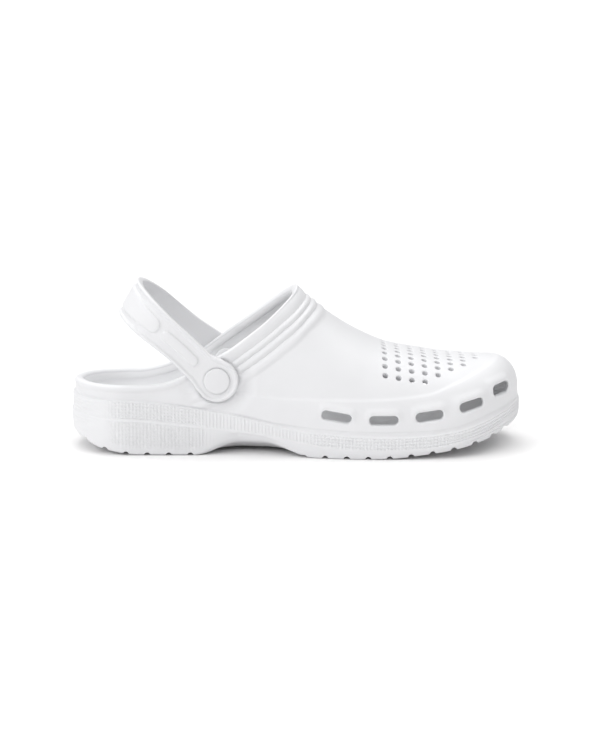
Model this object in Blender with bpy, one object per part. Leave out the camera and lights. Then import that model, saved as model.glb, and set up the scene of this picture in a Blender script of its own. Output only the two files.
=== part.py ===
"""White foam clog for the right foot, standing empty on its sole.

All sizes below are millimetres in the shoe's own frame: x runs from the back of the heel to the toe,
y from the outer (lateral) side to the inner (medial) side, z up from the floor.

The upper is a shell over a last. The last is a capsule: a spine from the heel centre to the toe centre,
with a section across it that is a superellipse from the feather line up to the crest. Its surface is
worked out from a flat pattern (along, across), so that rows, holes and ridges can be laid out on the
pattern and carried to the skin and to the lining by the same function.
"""

import math

import bmesh
import bpy
import numpy as np
from mathutils import Vector
from mathutils.geometry import delaunay_2d_cdt

MM = 0.001

# Last
LENGTH = 285.8
HEEL_CENTRE = 38.0
TOE_CENTRE = 240.0
HALF_GIRTH = 60.0
END_SQUARE = 2.6
WALL = 4.0
UPPER_INSET = 1.9

# Rows of the mesh
HALF_COLUMNS = 28
VENT_ROWS = (0.34, 0.67)
VAMP_ROWS = (0.12, 0.25, 0.38, 0.51, 0.64, 0.76, 0.88)
LINING_ROWS = (0.12, 0.3, 0.48, 0.64, 0.8, 0.93)
ROW_ROOM = 1.4

# Collar: a rolled rim, then ridges that run parallel to it
RIM_ROLL = 1.7
RIM_DIP = 1.9
RIDGE_COLUMNS = ("start", "end", "height")
RIDGES = (
    (0.0, 7.2, 1.2),
    (7.2, 11.3, 1.2),
    (11.3, 16.2, 1.3),
    (16.2, 22.6, 1.1),
)
RIDGE_FADE_X = (72.0, 88.0)
RIDGE_CLEAR = (14.4, 18.5)

# Bumper: the lower wall stands out under a ledge
BUMPER = 0.9
LEDGE_RUN = 1.1
LEDGE_FADE_X = (58.0, 88.0)

# Sole
BAND_STEP = 1.3
TIER_STEP = 0.8
TIER_STEP_HEEL = 0.3
FEATHER_GROOVE = 1.0
EDGE_ROUND = 3.2
END_EDGE_ROUND = 7.5
EDGE_HEIGHT = 2.4
UNDERSIDE_ROW = 13.0
ARCH_X = (79.0, 108.0, 122.0, 155.0)
ARCH_RISE = 2.4
RIB_PITCH = 2.2
RIB_DEPTH = 0.5
BAND_RIBS_X = (20.0, 244.0)
TIER_RIBS_X = (22.0, 80.0)
TREAD_RADIUS = 1.9
HEEL_TREAD = (9.1, 13.5, 6)
FOREFOOT_TREAD = (147.8, 13.4, 9)
TOE_TREAD = (266.8, 7.8, 2)

# Vents, the same on both sides
VENT_COLUMNS = ("x", "z", "length", "height", "tilt")
VENTS = (
    (168.3, 26.6, 19.0, 6.2, -9.0),
    (197.6, 24.8, 19.0, 6.2, 0.0),
    (226.0, 27.2, 18.5, 6.4, 8.0),
    (252.6, 32.6, 19.2, 7.4, 16.0),
    (271.5, 39.6, 17.5, 8.2, 22.0),
)

# Perforations: columns across the vamp, each with one hole on the crest and the same rows down each side
HOLE_RADIUS = 2.0
HOLE_FIRST_X = 198.6
HOLE_PITCH_X = 8.3
HOLE_PITCH_SIDE = 6.95
HOLE_ROWS = (7, 7, 7, 7, 6, 5, 4, 2)

# Strap and rivets
PIVOT_X = 95.25
PIVOT_SKEW = 1.75
PIVOT_Z = 47.8
PIVOT_SEAT = 34.6
SEAT_FLAT = 17.5
SEAT_FADE = 26.0
FIT_GAP = 0.3
STRAP_ANGLE = math.radians(39.4)
STRAP_REACH = 76.5
STRAP_LEAN = 0.16
STRAP_SKEW = 1.9
STRAP_THICK = 4.2
STRAP_STRAIGHT = 30.0
STRAP_BEND_SQUARE = 2.15
LOBE_RADIUS = 13.5
STRAP_BORDER = 2.4
STRAP_RELIEF = 0.7
STRAP_COLUMNS = ("along", "half_width")
STRAP_WIDTHS = (
    (0.0, 13.5),
    (6.0, 12.4),
    (14.0, 10.4),
    (24.0, 10.3),
    (42.0, 10.7),
    (60.0, 11.9),
    (76.5, 12.4),
)
PAD_COLUMNS = ("start", "end")
PADS = (
    (16.3, 44.8),
    (48.4, 200.0),
)
PAD_SHARE = 0.62
BUTTON_RADIUS = 8.0
BUTTON_SEAT_RADIUS = 8.9
BUTTON_SEAT_DEPTH = 1.6
STEM_RADIUS = 3.8
STEM_HOLE_RADIUS = 4.5
WASHER_RADIUS = 7.4
WASHER_THICK = 2.2

STATION_COLUMNS = (
    "x", "lateral", "medial", "axis", "height", "square",
    "feather", "band_top", "band_bottom", "bottom", "ledge", "footbed",
)
STATIONS = (
    (0.0, 37.5, 37.5, 0.0, 112.0, 2.2, 35.8, 34.8, 18.5, 11.5, 42.0, 27.0),
    (10.0, 37.5, 37.5, 0.0, 113.0, 2.2, 35.7, 34.7, 19.6, 7.2, 41.7, 26.8),
    (20.0, 37.5, 37.5, 0.0, 114.0, 2.2, 35.6, 34.6, 20.5, 3.4, 41.5, 26.5),
    (45.0, 37.5, 37.5, 0.0, 115.0, 2.2, 34.8, 33.8, 21.5, 0.0, 41.0, 26.0),
    (70.0, 37.5, 37.5, 0.0, 113.0, 2.2, 32.2, 31.0, 19.5, 0.0, 40.5, 26.0),
    (92.0, 37.6, 37.2, 0.0, 107.0, 2.2, 29.0, 27.8, 16.8, 0.0, 40.0, 25.5),
    (112.0, 39.0, 37.0, 0.0, 99.0, 2.2, 25.4, 24.0, 15.0, 0.0, 39.2, 24.5),
    (135.0, 42.2, 40.0, 0.0, 86.0, 2.3, 21.0, 18.6, 11.5, 0.0, 37.0, 21.5),
    (160.0, 46.2, 44.8, 0.0, 67.6, 2.45, 18.6, 14.4, 7.0, 0.0, 36.8, 18.0),
    (180.0, 48.8, 48.2, 0.1, 55.3, 2.6, 17.8, 12.8, 5.4, 0.0, 37.2, 16.0),
    (200.0, 50.0, 50.2, 0.5, 46.5, 2.65, 17.6, 12.4, 5.2, 0.4, 37.7, 15.2),
    (225.0, 49.6, 51.0, 1.6, 41.0, 2.6, 18.2, 13.2, 6.5, 2.9, 40.0, 16.4),
    (240.0, 48.6, 50.8, 2.8, 37.2, 2.6, 19.8, 15.4, 8.7, 5.0, 44.8, 18.0),
    (262.0, 46.6, 49.2, 4.8, 32.2, 2.6, 26.0, 22.0, 14.2, 9.8, 52.5, 23.4),
    (285.8, 44.5, 47.0, 7.5, 32.2, 2.6, 32.5, 30.0, 23.0, 18.0, 60.0, 29.5),
)

COLLAR_COLUMNS = ("x", "z", "lateral_drop")
COLLAR = (
    (-10.0, 43.0, 0.0),
    (0.0, 41.6, -0.6),
    (13.0, 40.2, -1.7),
    (27.0, 39.3, -2.6),
    (40.0, 39.2, -2.8),
    (55.0, 41.8, -0.9),
    (68.0, 46.9, 0.7),
    (80.0, 52.4, 0.4),
    (94.0, 62.4, 1.0),
    (116.0, 78.8, 1.2),
    (136.0, 94.4, 0.8),
    (150.0, 105.2, 0.0),
    (170.0, 120.0, 0.0),
    (320.0, 231.0, 0.0),
)


def columns(names, rows):
    return dict(zip(names, np.array(rows, dtype=float).T))


STATION = columns(STATION_COLUMNS, STATIONS)
COLLAR_LINE = columns(COLLAR_COLUMNS, COLLAR)
STRAP_WIDTH = columns(STRAP_COLUMNS, STRAP_WIDTHS)


def hermite(xs, ys, x):
    """Smooth curve through a short table, without overshoot between its rows."""
    step = np.diff(xs)
    slope = np.diff(ys) / step
    product = slope[:-1] * slope[1:]
    total = slope[:-1] + slope[1:]
    inner = np.where(product > 0.0, 2.0 * product / np.where(total == 0.0, 1.0, total), 0.0)
    tangent = np.concatenate((slope[:1], inner, slope[-1:]))
    x = np.clip(x, xs[0], xs[-1])
    k = np.clip(np.searchsorted(xs, x, side="right") - 1, 0, len(xs) - 2)
    t = (x - xs[k]) / step[k]
    rise = ys[k] * (1.0 + 2.0 * t) * (1.0 - t) ** 2 + ys[k + 1] * t * t * (3.0 - 2.0 * t)
    lean = tangent[k] * t * (1.0 - t) ** 2 - tangent[k + 1] * t * t * (1.0 - t)
    return rise + lean * step[k]


def station(name, x):
    return hermite(STATION["x"], STATION[name], x)


def smoothstep(low, high, x):
    t = np.clip((x - low) / (high - low), 0.0, 1.0)
    return t * t * (3.0 - 2.0 * t)


def collar(x, y):
    """Height of the collar's edge. The lateral side is higher at the heel and lower at the instep."""
    drop = hermite(COLLAR_LINE["x"], COLLAR_LINE["lateral_drop"], x)
    return hermite(COLLAR_LINE["x"], COLLAR_LINE["z"], x) - drop * smoothstep(-4.0, 14.0, -y)


def last(flat, inset):
    """Carries points of the flat pattern to the upper's outer form, taken in by inset all round."""
    along, across = flat[:, 0], flat[:, 1]
    spine = np.clip(along, HEEL_CENTRE, TOE_CENTRE)
    beyond = along - spine
    reach = np.maximum(np.hypot(beyond, across), 1e-9)
    forward = beyond / reach
    sideways = np.where(across < 0.0, -1.0, 1.0) * np.sqrt(np.maximum(1.0 - forward ** 2, 0.0))
    roll = np.minimum(reach / HALF_GIRTH, 1.0) * math.pi / 2.0
    end = np.where(beyond > 0.0, LENGTH - TOE_CENTRE, HEEL_CENTRE) - UPPER_INSET - inset
    nominal = spine + forward * np.sin(roll) * end
    square = station("square", nominal) * sideways ** 2 + END_SQUARE * forward ** 2
    size = (np.sin(roll) ** square + np.cos(roll) ** square) ** (1.0 / square)
    out, up = np.sin(roll) / size, np.cos(roll) / size
    x = spine + forward * out * end
    half = np.where(across < 0.0, station("lateral", x), station("medial", x)) - UPPER_INSET - inset
    y = station("axis", x) + sideways * out * half
    z = station("feather", x) + (station("height", x) - inset) * up
    return np.stack((x, y, z), axis=1)


def slopes(surface, flat, step=0.04):
    """Change of a surface point along and across the flat pattern."""
    along, across = np.array((step, 0.0)), np.array((0.0, step))
    return (
        (surface(flat + along) - surface(flat - along)) / (2.0 * step),
        (surface(flat + across) - surface(flat - across)) / (2.0 * step),
    )


def normals(surface, flat):
    along, across = slopes(surface, flat)
    normal = np.cross(along, across)
    return normal / np.maximum(np.linalg.norm(normal, axis=1, keepdims=True), 1e-12)


def from_rim(point):
    """Distance of a wall point below the collar's edge, measured square to the edge."""
    x, y, z = point.T
    rise = collar(x + 0.5, y) - collar(x - 0.5, y)
    return (collar(x, y) - z) / np.hypot(1.0, rise)


def pivot_x(y):
    """The rivet of the medial side sits a little further forward than the lateral one."""
    return PIVOT_X + PIVOT_SKEW * np.clip(y / 30.0, -1.0, 1.0)


def from_pivot(point):
    return np.hypot(point[:, 0] - pivot_x(point[:, 1]), point[:, 2] - PIVOT_Z)


def seat_share(point):
    """One on the flat that carries a strap lobe, nothing away from it."""
    away = from_pivot(point)
    return 1.0 - smoothstep(SEAT_FLAT, SEAT_FADE, away)


def relief(point):
    """Height of the collar ridges and of the bumper over the plain upper."""
    x, z = point[:, 0], point[:, 2]
    depth = from_rim(point)
    ridges = np.zeros(len(point))
    for start, end, height in RIDGES:
        inside = (depth >= start) & (depth < end)
        swell = np.sin(math.pi * np.clip((depth - start) / (end - start), 0.0, 1.0))
        ridges += np.where(inside, height * swell, 0.0)
    ridges *= smoothstep(*RIDGE_FADE_X, x) * smoothstep(*RIDGE_CLEAR, from_pivot(point))
    ledge = station("ledge", x)
    bumper = 1.0 - smoothstep(-LEDGE_RUN, LEDGE_RUN, z - ledge)
    bumper *= smoothstep(*LEDGE_FADE_X, x)
    return ridges + BUMPER * bumper


def seated(point, plane):
    """Pulls the wall to an upright plane where a strap lobe or a washer sits on it."""
    share = seat_share(point)
    side = np.where(point[:, 1] < 0.0, -1.0, 1.0)
    moved = point.copy()
    moved[:, 1] += share * (side * plane - point[:, 1])
    return moved


def plain_skin(flat):
    return last(flat, 0.0)


def skin(flat):
    plain = plain_skin(flat)
    raised = plain + normals(plain_skin, flat) * relief(plain)[:, None]
    return seated(raised, PIVOT_SEAT)


def lining(flat):
    return seated(last(flat, WALL), PIVOT_SEAT - WALL)


def bound(low, high, count):
    return np.linspace(low, high, count, endpoint=False)


def pattern_edge():
    """Half of the flat pattern's outer edge, from the heel along the lateral side to the toe."""
    heel = bound(math.pi, 1.5 * math.pi, 300)
    toe = np.linspace(1.5 * math.pi, 2.0 * math.pi, 300)
    side = bound(HEEL_CENTRE, TOE_CENTRE, 600)
    return np.concatenate((
        np.stack((HEEL_CENTRE + HALF_GIRTH * np.cos(heel), HALF_GIRTH * np.sin(heel)), axis=1),
        np.stack((side, np.full_like(side, -HALF_GIRTH)), axis=1),
        np.stack((TOE_CENTRE + HALF_GIRTH * np.cos(toe), HALF_GIRTH * np.sin(toe)), axis=1),
    ))


def rim_line(x, y):
    """Height of the collar's edge, which dips into the first ridge on the lateral side."""
    dip = smoothstep(84.0, 106.0, x) * (1.0 - smoothstep(122.0, 146.0, x))
    return collar(x, y) - RIM_DIP * dip * smoothstep(-4.0, 14.0, -y)


def opening_edge(inset, side):
    """Half of the collar's edge on the flat pattern, from the heel along one side to the throat."""
    turn = np.linspace(0.0, math.pi, 500)
    centre = np.array((80.0, 0.0))
    ray = np.stack((-np.cos(turn), side * np.sin(turn)), axis=1)
    near, far = np.zeros(len(turn)), np.full(len(turn), 200.0)
    for _ in range(48):
        middle = 0.5 * (near + far)
        flat = centre + ray * middle[:, None]
        spine = np.clip(flat[:, 0], HEEL_CENTRE, TOE_CENTRE)
        beyond = np.hypot(flat[:, 0] - spine, flat[:, 1]) > HALF_GIRTH
        point = last(flat, inset)
        inside = (point[:, 2] > rim_line(point[:, 0], point[:, 1])) & ~beyond
        near, far = np.where(inside, middle, near), np.where(inside, far, middle)
    flat = centre + ray * near[:, None]
    flat[0, 1] = flat[-1, 1] = 0.0
    return flat


def shares(points):
    run = np.concatenate(((0.0,), np.cumsum(np.linalg.norm(np.diff(points, axis=0), axis=1))))
    return run / run[-1]


def pick(share, known_share, known):
    return np.stack([np.interp(share, known_share, column) for column in known.T], axis=1)


def closed(lateral, medial):
    """Closes a half loop on the lateral side, both ends on the axis, with one on the medial side."""
    return np.concatenate((lateral, medial[-2:0:-1]))


EDGE = pattern_edge()


def sole_form(flat):
    return last(flat, -UPPER_INSET)


EDGE_SHARE = shares(sole_form(EDGE)[:, :2])


def outline(turn):
    """Sole outline at turn: 0 at the heel, 0.5 at the toe by the lateral side, 1 at the heel again."""
    turn = np.mod(turn, 1.0)
    medial = turn > 0.5
    half = np.where(medial, 1.0 - turn, turn) * 2.0
    flip = np.where(medial, -1.0, 1.0)

    def place(share):
        flat = pick(np.abs(share), EDGE_SHARE, EDGE)
        flat[:, 1] *= flip * np.where(share < 0.0, -1.0, 1.0)
        beyond_toe = share > 1.0
        folded = pick(2.0 - share, EDGE_SHARE, EDGE)
        folded[:, 1] *= -flip
        return sole_form(np.where(beyond_toe[:, None], folded, flat))

    here = place(half)
    ahead = place(half + 0.004) - place(half - 0.004)
    normal = np.stack((ahead[:, 1] * flip, -ahead[:, 0] * flip), axis=1)
    normal /= np.linalg.norm(normal, axis=1, keepdims=True)
    return here[:, :2], normal


HALF_TURNS = np.linspace(0.0, 1.0, HALF_COLUMNS + 1)
TURNS = bound(0.0, 1.0, 2 * HALF_COLUMNS)


class Shell:
    """Collects the points and faces of one solid."""

    def __init__(self):
        self.points = []
        self.faces = []

    def add(self, points):
        first = len(self.points)
        self.points.extend(tuple(point) for point in points)
        return list(range(first, len(self.points)))

    def strip(self, lower, upper):
        count = len(lower)
        for k in range(count):
            n = (k + 1) % count
            self.faces.append((lower[k], lower[n], upper[n], upper[k]))

    def zipper(self, lower, lower_turn, upper, upper_turn):
        """Joins two closed loops that have different columns."""
        i = j = 0
        while i < len(lower) or j < len(upper):
            next_low = lower_turn[i + 1] if i + 1 < len(lower) else 1.0
            next_up = upper_turn[j + 1] if j + 1 < len(upper) else 1.0
            take_low = j >= len(upper) or (i < len(lower) and next_low <= next_up)
            low, up = lower[i % len(lower)], upper[j % len(upper)]
            if take_low:
                self.faces.append((low, lower[(i + 1) % len(lower)], up))
                i += 1
            else:
                self.faces.append((low, upper[(j + 1) % len(upper)], up))
                j += 1

    def span(self, loop):
        """Fills a loop that is even about its axis with strips from side to side."""
        count = len(loop)
        for k in range(count // 2):
            face = (loop[k], loop[k + 1], loop[(count - k - 1) % count], loop[(count - k) % count])
            self.faces.append(tuple(dict.fromkeys(face)))

    def fan(self, loop, hub):
        for k in range(len(loop)):
            self.faces.append((loop[k], loop[(k + 1) % len(loop)], hub))

    def build(self, name, material):
        mesh = bpy.data.meshes.new(name)
        mesh.from_pydata([to_world(point) for point in self.points], [], self.faces)
        work = bmesh.new()
        work.from_mesh(mesh)
        bmesh.ops.recalc_face_normals(work, faces=work.faces)
        work.to_mesh(mesh)
        work.free()
        mesh.materials.append(material)
        obj = bpy.data.objects.new(name, mesh)
        bpy.context.scene.collection.objects.link(obj)
        return obj


OUTLINE_Y = outline(np.linspace(0.0, 1.0, 2001))[0][:, 1]
CENTRE = (0.5 * (LENGTH - TIER_STEP_HEEL), 0.5 * (OUTLINE_Y.min() + OUTLINE_Y.max()), 0.0)


def to_world(point):
    return Vector([MM * (float(p) - c) for p, c in zip(point, CENTRE)])


def settle(surface, flat, target, rounds=8):
    """Moves flat points until the surface passes nearest to the target points."""
    flat = flat.copy()
    for _ in range(rounds):
        along, across = slopes(surface, flat)
        miss = target - surface(flat)
        aa, ab, bb = (along * along).sum(1), (along * across).sum(1), (across * across).sum(1)
        am, bm = (along * miss).sum(1), (across * miss).sum(1)
        det = np.maximum(aa * bb - ab * ab, 1e-9)
        flat[:, 0] += np.clip((bb * am - ab * bm) / det, -8.0, 8.0)
        flat[:, 1] += np.clip((aa * bm - ab * am) / det, -8.0, 8.0)
    return flat


def locate(surface, start, axes, wanted, rounds=40):
    """Flat points where two of the surface's coordinates have the wanted values."""
    flat, wanted = np.array(start, dtype=float), np.array(wanted, dtype=float)
    first, second = axes
    for _ in range(rounds):
        along, across = slopes(surface, flat)
        miss = wanted - surface(flat)[:, list(axes)]
        det = along[:, first] * across[:, second] - across[:, first] * along[:, second]
        det = np.where(np.abs(det) < 1e-6, 1e-6, det)
        step_along = (miss[:, 0] * across[:, second] - across[:, first] * miss[:, 1]) / det
        step_across = (along[:, first] * miss[:, 1] - miss[:, 0] * along[:, second]) / det
        flat[:, 0] += np.clip(step_along, -4.0, 4.0)
        flat[:, 1] += np.clip(step_across, -4.0, 4.0)
    return flat


def rings_on_skin(centres, shape, tilts):
    """Flat points of the edges of like holes. shape gives offsets along the shoe and up, in millimetres."""
    middle, normal = skin(centres), normals(plain_skin, centres)
    run = np.array((1.0, 0.0, 0.0)) - normal * normal[:, :1]
    run /= np.linalg.norm(run, axis=1, keepdims=True)
    rise = np.cross(normal, run)
    rise *= np.where(rise[:, 2:] < 0.0, -1.0, 1.0)
    lean = np.radians(tilts)[:, None]
    run, rise = run * np.cos(lean) + rise * np.sin(lean), rise * np.cos(lean) - run * np.sin(lean)
    target = middle[:, None] + shape[:, :1] * run[:, None] + shape[:, 1:] * rise[:, None]
    flat = settle(skin, np.repeat(centres, len(shape), axis=0), target.reshape(-1, 3))
    return list(flat.reshape(len(centres), len(shape), 2))


def ring_on_lining(flat):
    target = skin(flat) - WALL * normals(plain_skin, flat)
    return settle(lining, flat, target)


def circle(radius, count):
    turn = (np.arange(count) + 0.5) * 2.0 * math.pi / count
    return radius * np.stack((np.cos(turn), np.sin(turn)), axis=1)


def slot(length, height):
    corner = 0.42 * height
    x, y = 0.5 * length, 0.5 * height
    quarter = ((x, -y + corner), (x, y - corner), (x - corner, y), (-x + corner, y))
    return np.array(quarter + tuple((-a, -b) for a, b in quarter))


def perforation_offsets():
    """Offsets from the crest, on plan, that lie a row pitch apart along the section at the first column."""
    across = np.linspace(0.0, -HALF_GIRTH, 400)
    section = plain_skin(np.stack((np.full_like(across, HOLE_FIRST_X), across), axis=1))
    run = np.concatenate(((0.0,), np.cumsum(np.linalg.norm(np.diff(section, axis=0), axis=1))))
    rows = HOLE_PITCH_SIDE * np.arange(max(HOLE_ROWS))
    return np.interp(rows, run, section[0, 1] - section[:, 1])


def hole_rings():
    """Every hole of the upper as a ring of flat points on the skin: perforations, vents, stem holes."""
    offsets = perforation_offsets()
    start, wanted = [], []
    for column, rows in enumerate(HOLE_ROWS):
        x = HOLE_FIRST_X + HOLE_PITCH_X * column
        axis = float(station("axis", np.array((x,)))[0])
        for row in range(1 - rows, rows):
            start.append((x, 5.0 * row))
            wanted.append((x, axis + math.copysign(offsets[abs(row)], row)))
    centres = locate(plain_skin, start, (0, 1), wanted)
    rings = rings_on_skin(centres, circle(HOLE_RADIUS, 6), np.zeros(len(centres)))
    for side in (-1.0, 1.0):
        for x, z, length, height, tilt in VENTS:
            start = (TOE_CENTRE + 0.6 * (x - TOE_CENTRE) if x > TOE_CENTRE else x, side * 0.75 * HALF_GIRTH)
            centre = locate(plain_skin, (start,), (0, 2), ((x, z),))
            rings += rings_on_skin(centre, slot(length, height), np.array((tilt,)))
        pivot = float(pivot_x(side * PIVOT_SEAT))
        centre = locate(plain_skin, ((pivot, side * 0.85 * HALF_GIRTH),), (0, 2), ((pivot, PIVOT_Z),))
        rings += rings_on_skin(centre, circle(STEM_HOLE_RADIUS, 8), np.zeros(1))
    return rings


def layout(inset):
    """Feet and heads of the columns that run from the feather line to the collar's edge."""
    head_share = HALF_TURNS * (1.75 - 0.75 * HALF_TURNS)
    feet = pick(HALF_TURNS, EDGE_SHARE, EDGE)
    feet[0, 1] = feet[-1, 1] = 0.0
    heads = []
    for side in (-1.0, 1.0):
        opening = opening_edge(inset, side)
        heads.append(pick(head_share, shares(last(opening, inset)), opening))
    return closed(feet, feet * np.array((1.0, -1.0))), closed(*heads)


def crossing(levels, values, wanted):
    """First place along a column where values reaches wanted."""
    above = np.nonzero(values >= wanted)[0]
    if not len(above):
        return levels[-1]
    k = max(int(above[0]), 1)
    gap = values[k] - values[k - 1]
    return levels[k - 1] + (levels[k] - levels[k - 1]) * np.clip((wanted - values[k - 1]) / gap, 0.0, 1.0)


def skin_rows(feet, heads):
    """Flat points of the skin's rows: vent rows, both sides of the ledge, vamp rows, collar ridges."""
    marks = [0.0]
    for start, end, _ in RIDGES:
        marks += [0.5 * (start + end), end]
    marks = np.array(marks[1:][::-1])
    levels = np.linspace(0.0, 1.0, 240)
    rows = []
    for foot, head in zip(feet, heads):
        flat = foot + (head - foot) * levels[:, None]
        point = plain_skin(flat)
        ledge = point[:, 2] - station("ledge", point[:, 0])
        low, high = (crossing(levels, ledge, side * LEDGE_RUN) for side in (-1.0, 1.0))
        depth = np.minimum.accumulate(from_rim(point))
        room = np.interp(high, levels, depth)
        scaled = marks * min(1.0, 0.8 * room / marks[0])
        collar_rows = np.interp(-scaled, -depth, levels)
        vents = [low * share for share in VENT_ROWS]
        vamp = [high + (collar_rows[0] - high) * share for share in VAMP_ROWS]
        column = np.array(vents + [low, high] + vamp + list(collar_rows))
        rows.append(foot + (head - foot) * column[:, None])
    return list(np.array(rows).transpose(1, 0, 2))


def even_rows(feet, heads, shares_up):
    return [feet + (heads - feet) * share for share in shares_up]


def inside_loop(points, loop):
    """Which points lie inside a closed loop, by counting crossings."""
    x, y = points[:, :1], points[:, 1:]
    ax, ay = loop[:, 0], loop[:, 1]
    bx, by = np.roll(ax, -1), np.roll(ay, -1)
    straddles = (ay > y) != (by > y)
    run = np.where(by == ay, 1e-12, by - ay)
    return (straddles & (x < ax + (bx - ax) * (y - ay) / run)).sum(1) % 2 == 1


def clear_of(points, rings, margin):
    clear = np.ones(len(points), dtype=bool)
    for ring in rings:
        middle = ring.mean(0)
        grown = middle + (ring - middle) * (1.0 + margin / np.linalg.norm(ring - middle, axis=1).min())
        clear &= ~inside_loop(points, grown)
    return clear


def lay_skin(shell, surface, feet, rows, heads, rings):
    """Triangulates one side of the upper on the flat pattern. Returns its loops as point numbers."""
    flat, edges, loops = [], [], []

    def take(points):
        first = sum(len(part) for part in flat)
        flat.append(points)
        return np.arange(first, first + len(points))

    def close(numbers):
        edges.extend(zip(numbers.tolist(), np.roll(numbers, -1).tolist()))
        loops.append(numbers)

    for ring in [feet, heads] + rings:
        close(take(ring))
    for row in rows:
        keep = clear_of(row, rings, 0.9)
        for end in (feet, heads):
            keep &= np.linalg.norm(surface(row) - surface(end), axis=1) > ROW_ROOM
        onward = np.roll(row, -1, axis=0) - row
        free = np.all([clear_of(row + onward * share, rings, 0.5) for share in bound(0.0, 1.0, 12)], axis=0)
        numbers = np.full(len(row), -1)
        numbers[keep] = take(row[keep])
        for k, number in enumerate(numbers):
            after = numbers[(k + 1) % len(row)]
            if number >= 0 and after >= 0 and free[k]:
                edges.append((int(number), int(after)))
    flat = np.concatenate(flat)
    found = delaunay_2d_cdt([Vector(point) for point in flat], edges, [], 0, 1e-6, True)
    spots = np.array([tuple(point) for point in found[0]])
    faces = np.array(found[2])
    middle = spots[faces].mean(1)
    kept = inside_loop(middle, feet) & ~inside_loop(middle, heads)
    for ring in rings:
        kept &= ~inside_loop(middle, ring)
    faces = faces[kept]
    used = np.unique(faces)
    numbers = shell.add(surface(spots[used]))
    renumber = {int(old): numbers[k] for k, old in enumerate(used)}
    shell.faces.extend(tuple(renumber[int(corner)] for corner in face) for face in faces)
    became = {}
    for new, olds in enumerate(found[3]):
        for old in olds:
            became[old] = new
    return [[renumber[became[int(number)]] for number in loop] for loop in loops]


def arch_share(x):
    return smoothstep(ARCH_X[0], ARCH_X[1], x) * (1.0 - smoothstep(ARCH_X[2], ARCH_X[3], x))


def side_point(turn, offset, height):
    place, normal = outline(turn)
    return np.column_stack((place + normal * offset[:, None], height))


def rib_turns(limits):
    """Turns of crests and valleys of the ribs on both sides, with the plain columns at heel and toe."""
    fine = np.linspace(0.0, 0.5, 4001)
    place = outline(fine)[0]
    low, high = np.interp(limits, place[:, 0], fine)
    length = shares(place)[-1] * np.linalg.norm(np.diff(place, axis=0), axis=1).sum()
    count = int(round((high - low) * 2.0 * length / RIB_PITCH))
    ribbed = np.linspace(low, high, 2 * count + 1)
    plain = TURNS[(TURNS <= 0.5) & ((TURNS < low - 0.004) | (TURNS > high + 0.004))]
    half = np.sort(np.concatenate((ribbed, plain)))
    crest = np.isin(half, ribbed[1::2])
    both = np.concatenate((half, 1.0 - half[(half > 0.0) & (half < 0.5)][::-1]))
    crest = np.concatenate((crest, crest[(half > 0.0) & (half < 0.5)][::-1]))
    return both, crest


def build_sole(shell, base_loop):
    """Steps and ribs of the side, down from the upper's feather line, and the underside."""
    place = outline(TURNS)[0]
    x = place[:, 0]
    feather, band_top = station("feather", x), station("band_top", x)
    strip_room = feather - band_top
    groove = shell.add(side_point(TURNS, np.full(len(x), -UPPER_INSET - FEATHER_GROOVE), feather - 0.5))
    strip_top = shell.add(side_point(
        TURNS, np.full(len(x), -BAND_STEP), feather - np.minimum(1.2, 0.5 + 0.2 * strip_room)))
    strip_low = shell.add(side_point(
        TURNS, np.full(len(x), -BAND_STEP), band_top + np.minimum(0.3, 0.15 * strip_room)))
    shell.strip(groove, base_loop)
    shell.strip(strip_top, groove)
    shell.strip(strip_low, strip_top)

    turn, crest = rib_turns(BAND_RIBS_X)
    x = outline(turn)[0][:, 0]
    ribs = np.where(crest, 0.0, -RIB_DEPTH * ((x > BAND_RIBS_X[0]) & (x < BAND_RIBS_X[1])))
    band_top_loop = shell.add(side_point(turn, ribs, station("band_top", x) - 0.3))
    band_low_loop = shell.add(side_point(turn, ribs, station("band_bottom", x) + 0.5))
    shell.zipper(band_top_loop, turn, strip_low, TURNS)
    shell.strip(band_low_loop, band_top_loop)

    tier_turn, tier_crest = rib_turns(TIER_RIBS_X)
    x = outline(tier_turn)[0][:, 0]
    tier = TIER_STEP_HEEL + (TIER_STEP - TIER_STEP_HEEL) * smoothstep(0.0, 24.0, x)
    tier *= 1.0 - smoothstep(60.0, 110.0, x)
    ribs = tier - np.where(tier_crest, 0.0, RIB_DEPTH * ((x > TIER_RIBS_X[0]) & (x < TIER_RIBS_X[1])))
    band_low, bottom = station("band_bottom", x), station("bottom", x)
    edge = bottom + EDGE_HEIGHT + (band_low - 1.0 - bottom - EDGE_HEIGHT) * arch_share(x)
    tier_top_loop = shell.add(side_point(tier_turn, ribs, band_low - 0.4))
    edge_loop = shell.add(side_point(tier_turn, ribs - 0.5, edge))
    shell.zipper(tier_top_loop, tier_turn, band_low_loop, turn)
    shell.strip(edge_loop, tier_top_loop)

    place, normal = outline(TURNS)
    x = place[:, 0]
    facing = np.abs(normal[:, 0]) ** 3
    arch, bottom = arch_share(x), station("bottom", x)
    round_in = EDGE_ROUND + (END_EDGE_ROUND - EDGE_ROUND) * facing + 3.0 * arch
    ground_x = (place + normal * -round_in[:, None])[:, 0]
    low = station("bottom", ground_x) + arch * (ARCH_RISE + 4.5)
    ground_loop = shell.add(side_point(TURNS, -round_in, low))
    shell.zipper(ground_loop, TURNS, edge_loop, tier_turn)
    under = UNDERSIDE_ROW + 4.0 * arch
    under_x = (place + normal * -under[:, None])[:, 0]
    under_low = station("bottom", under_x) + arch * ARCH_RISE
    under_loop = shell.add(side_point(TURNS, -under, under_low))
    shell.strip(under_loop, ground_loop)
    shell.span(under_loop)


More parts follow.
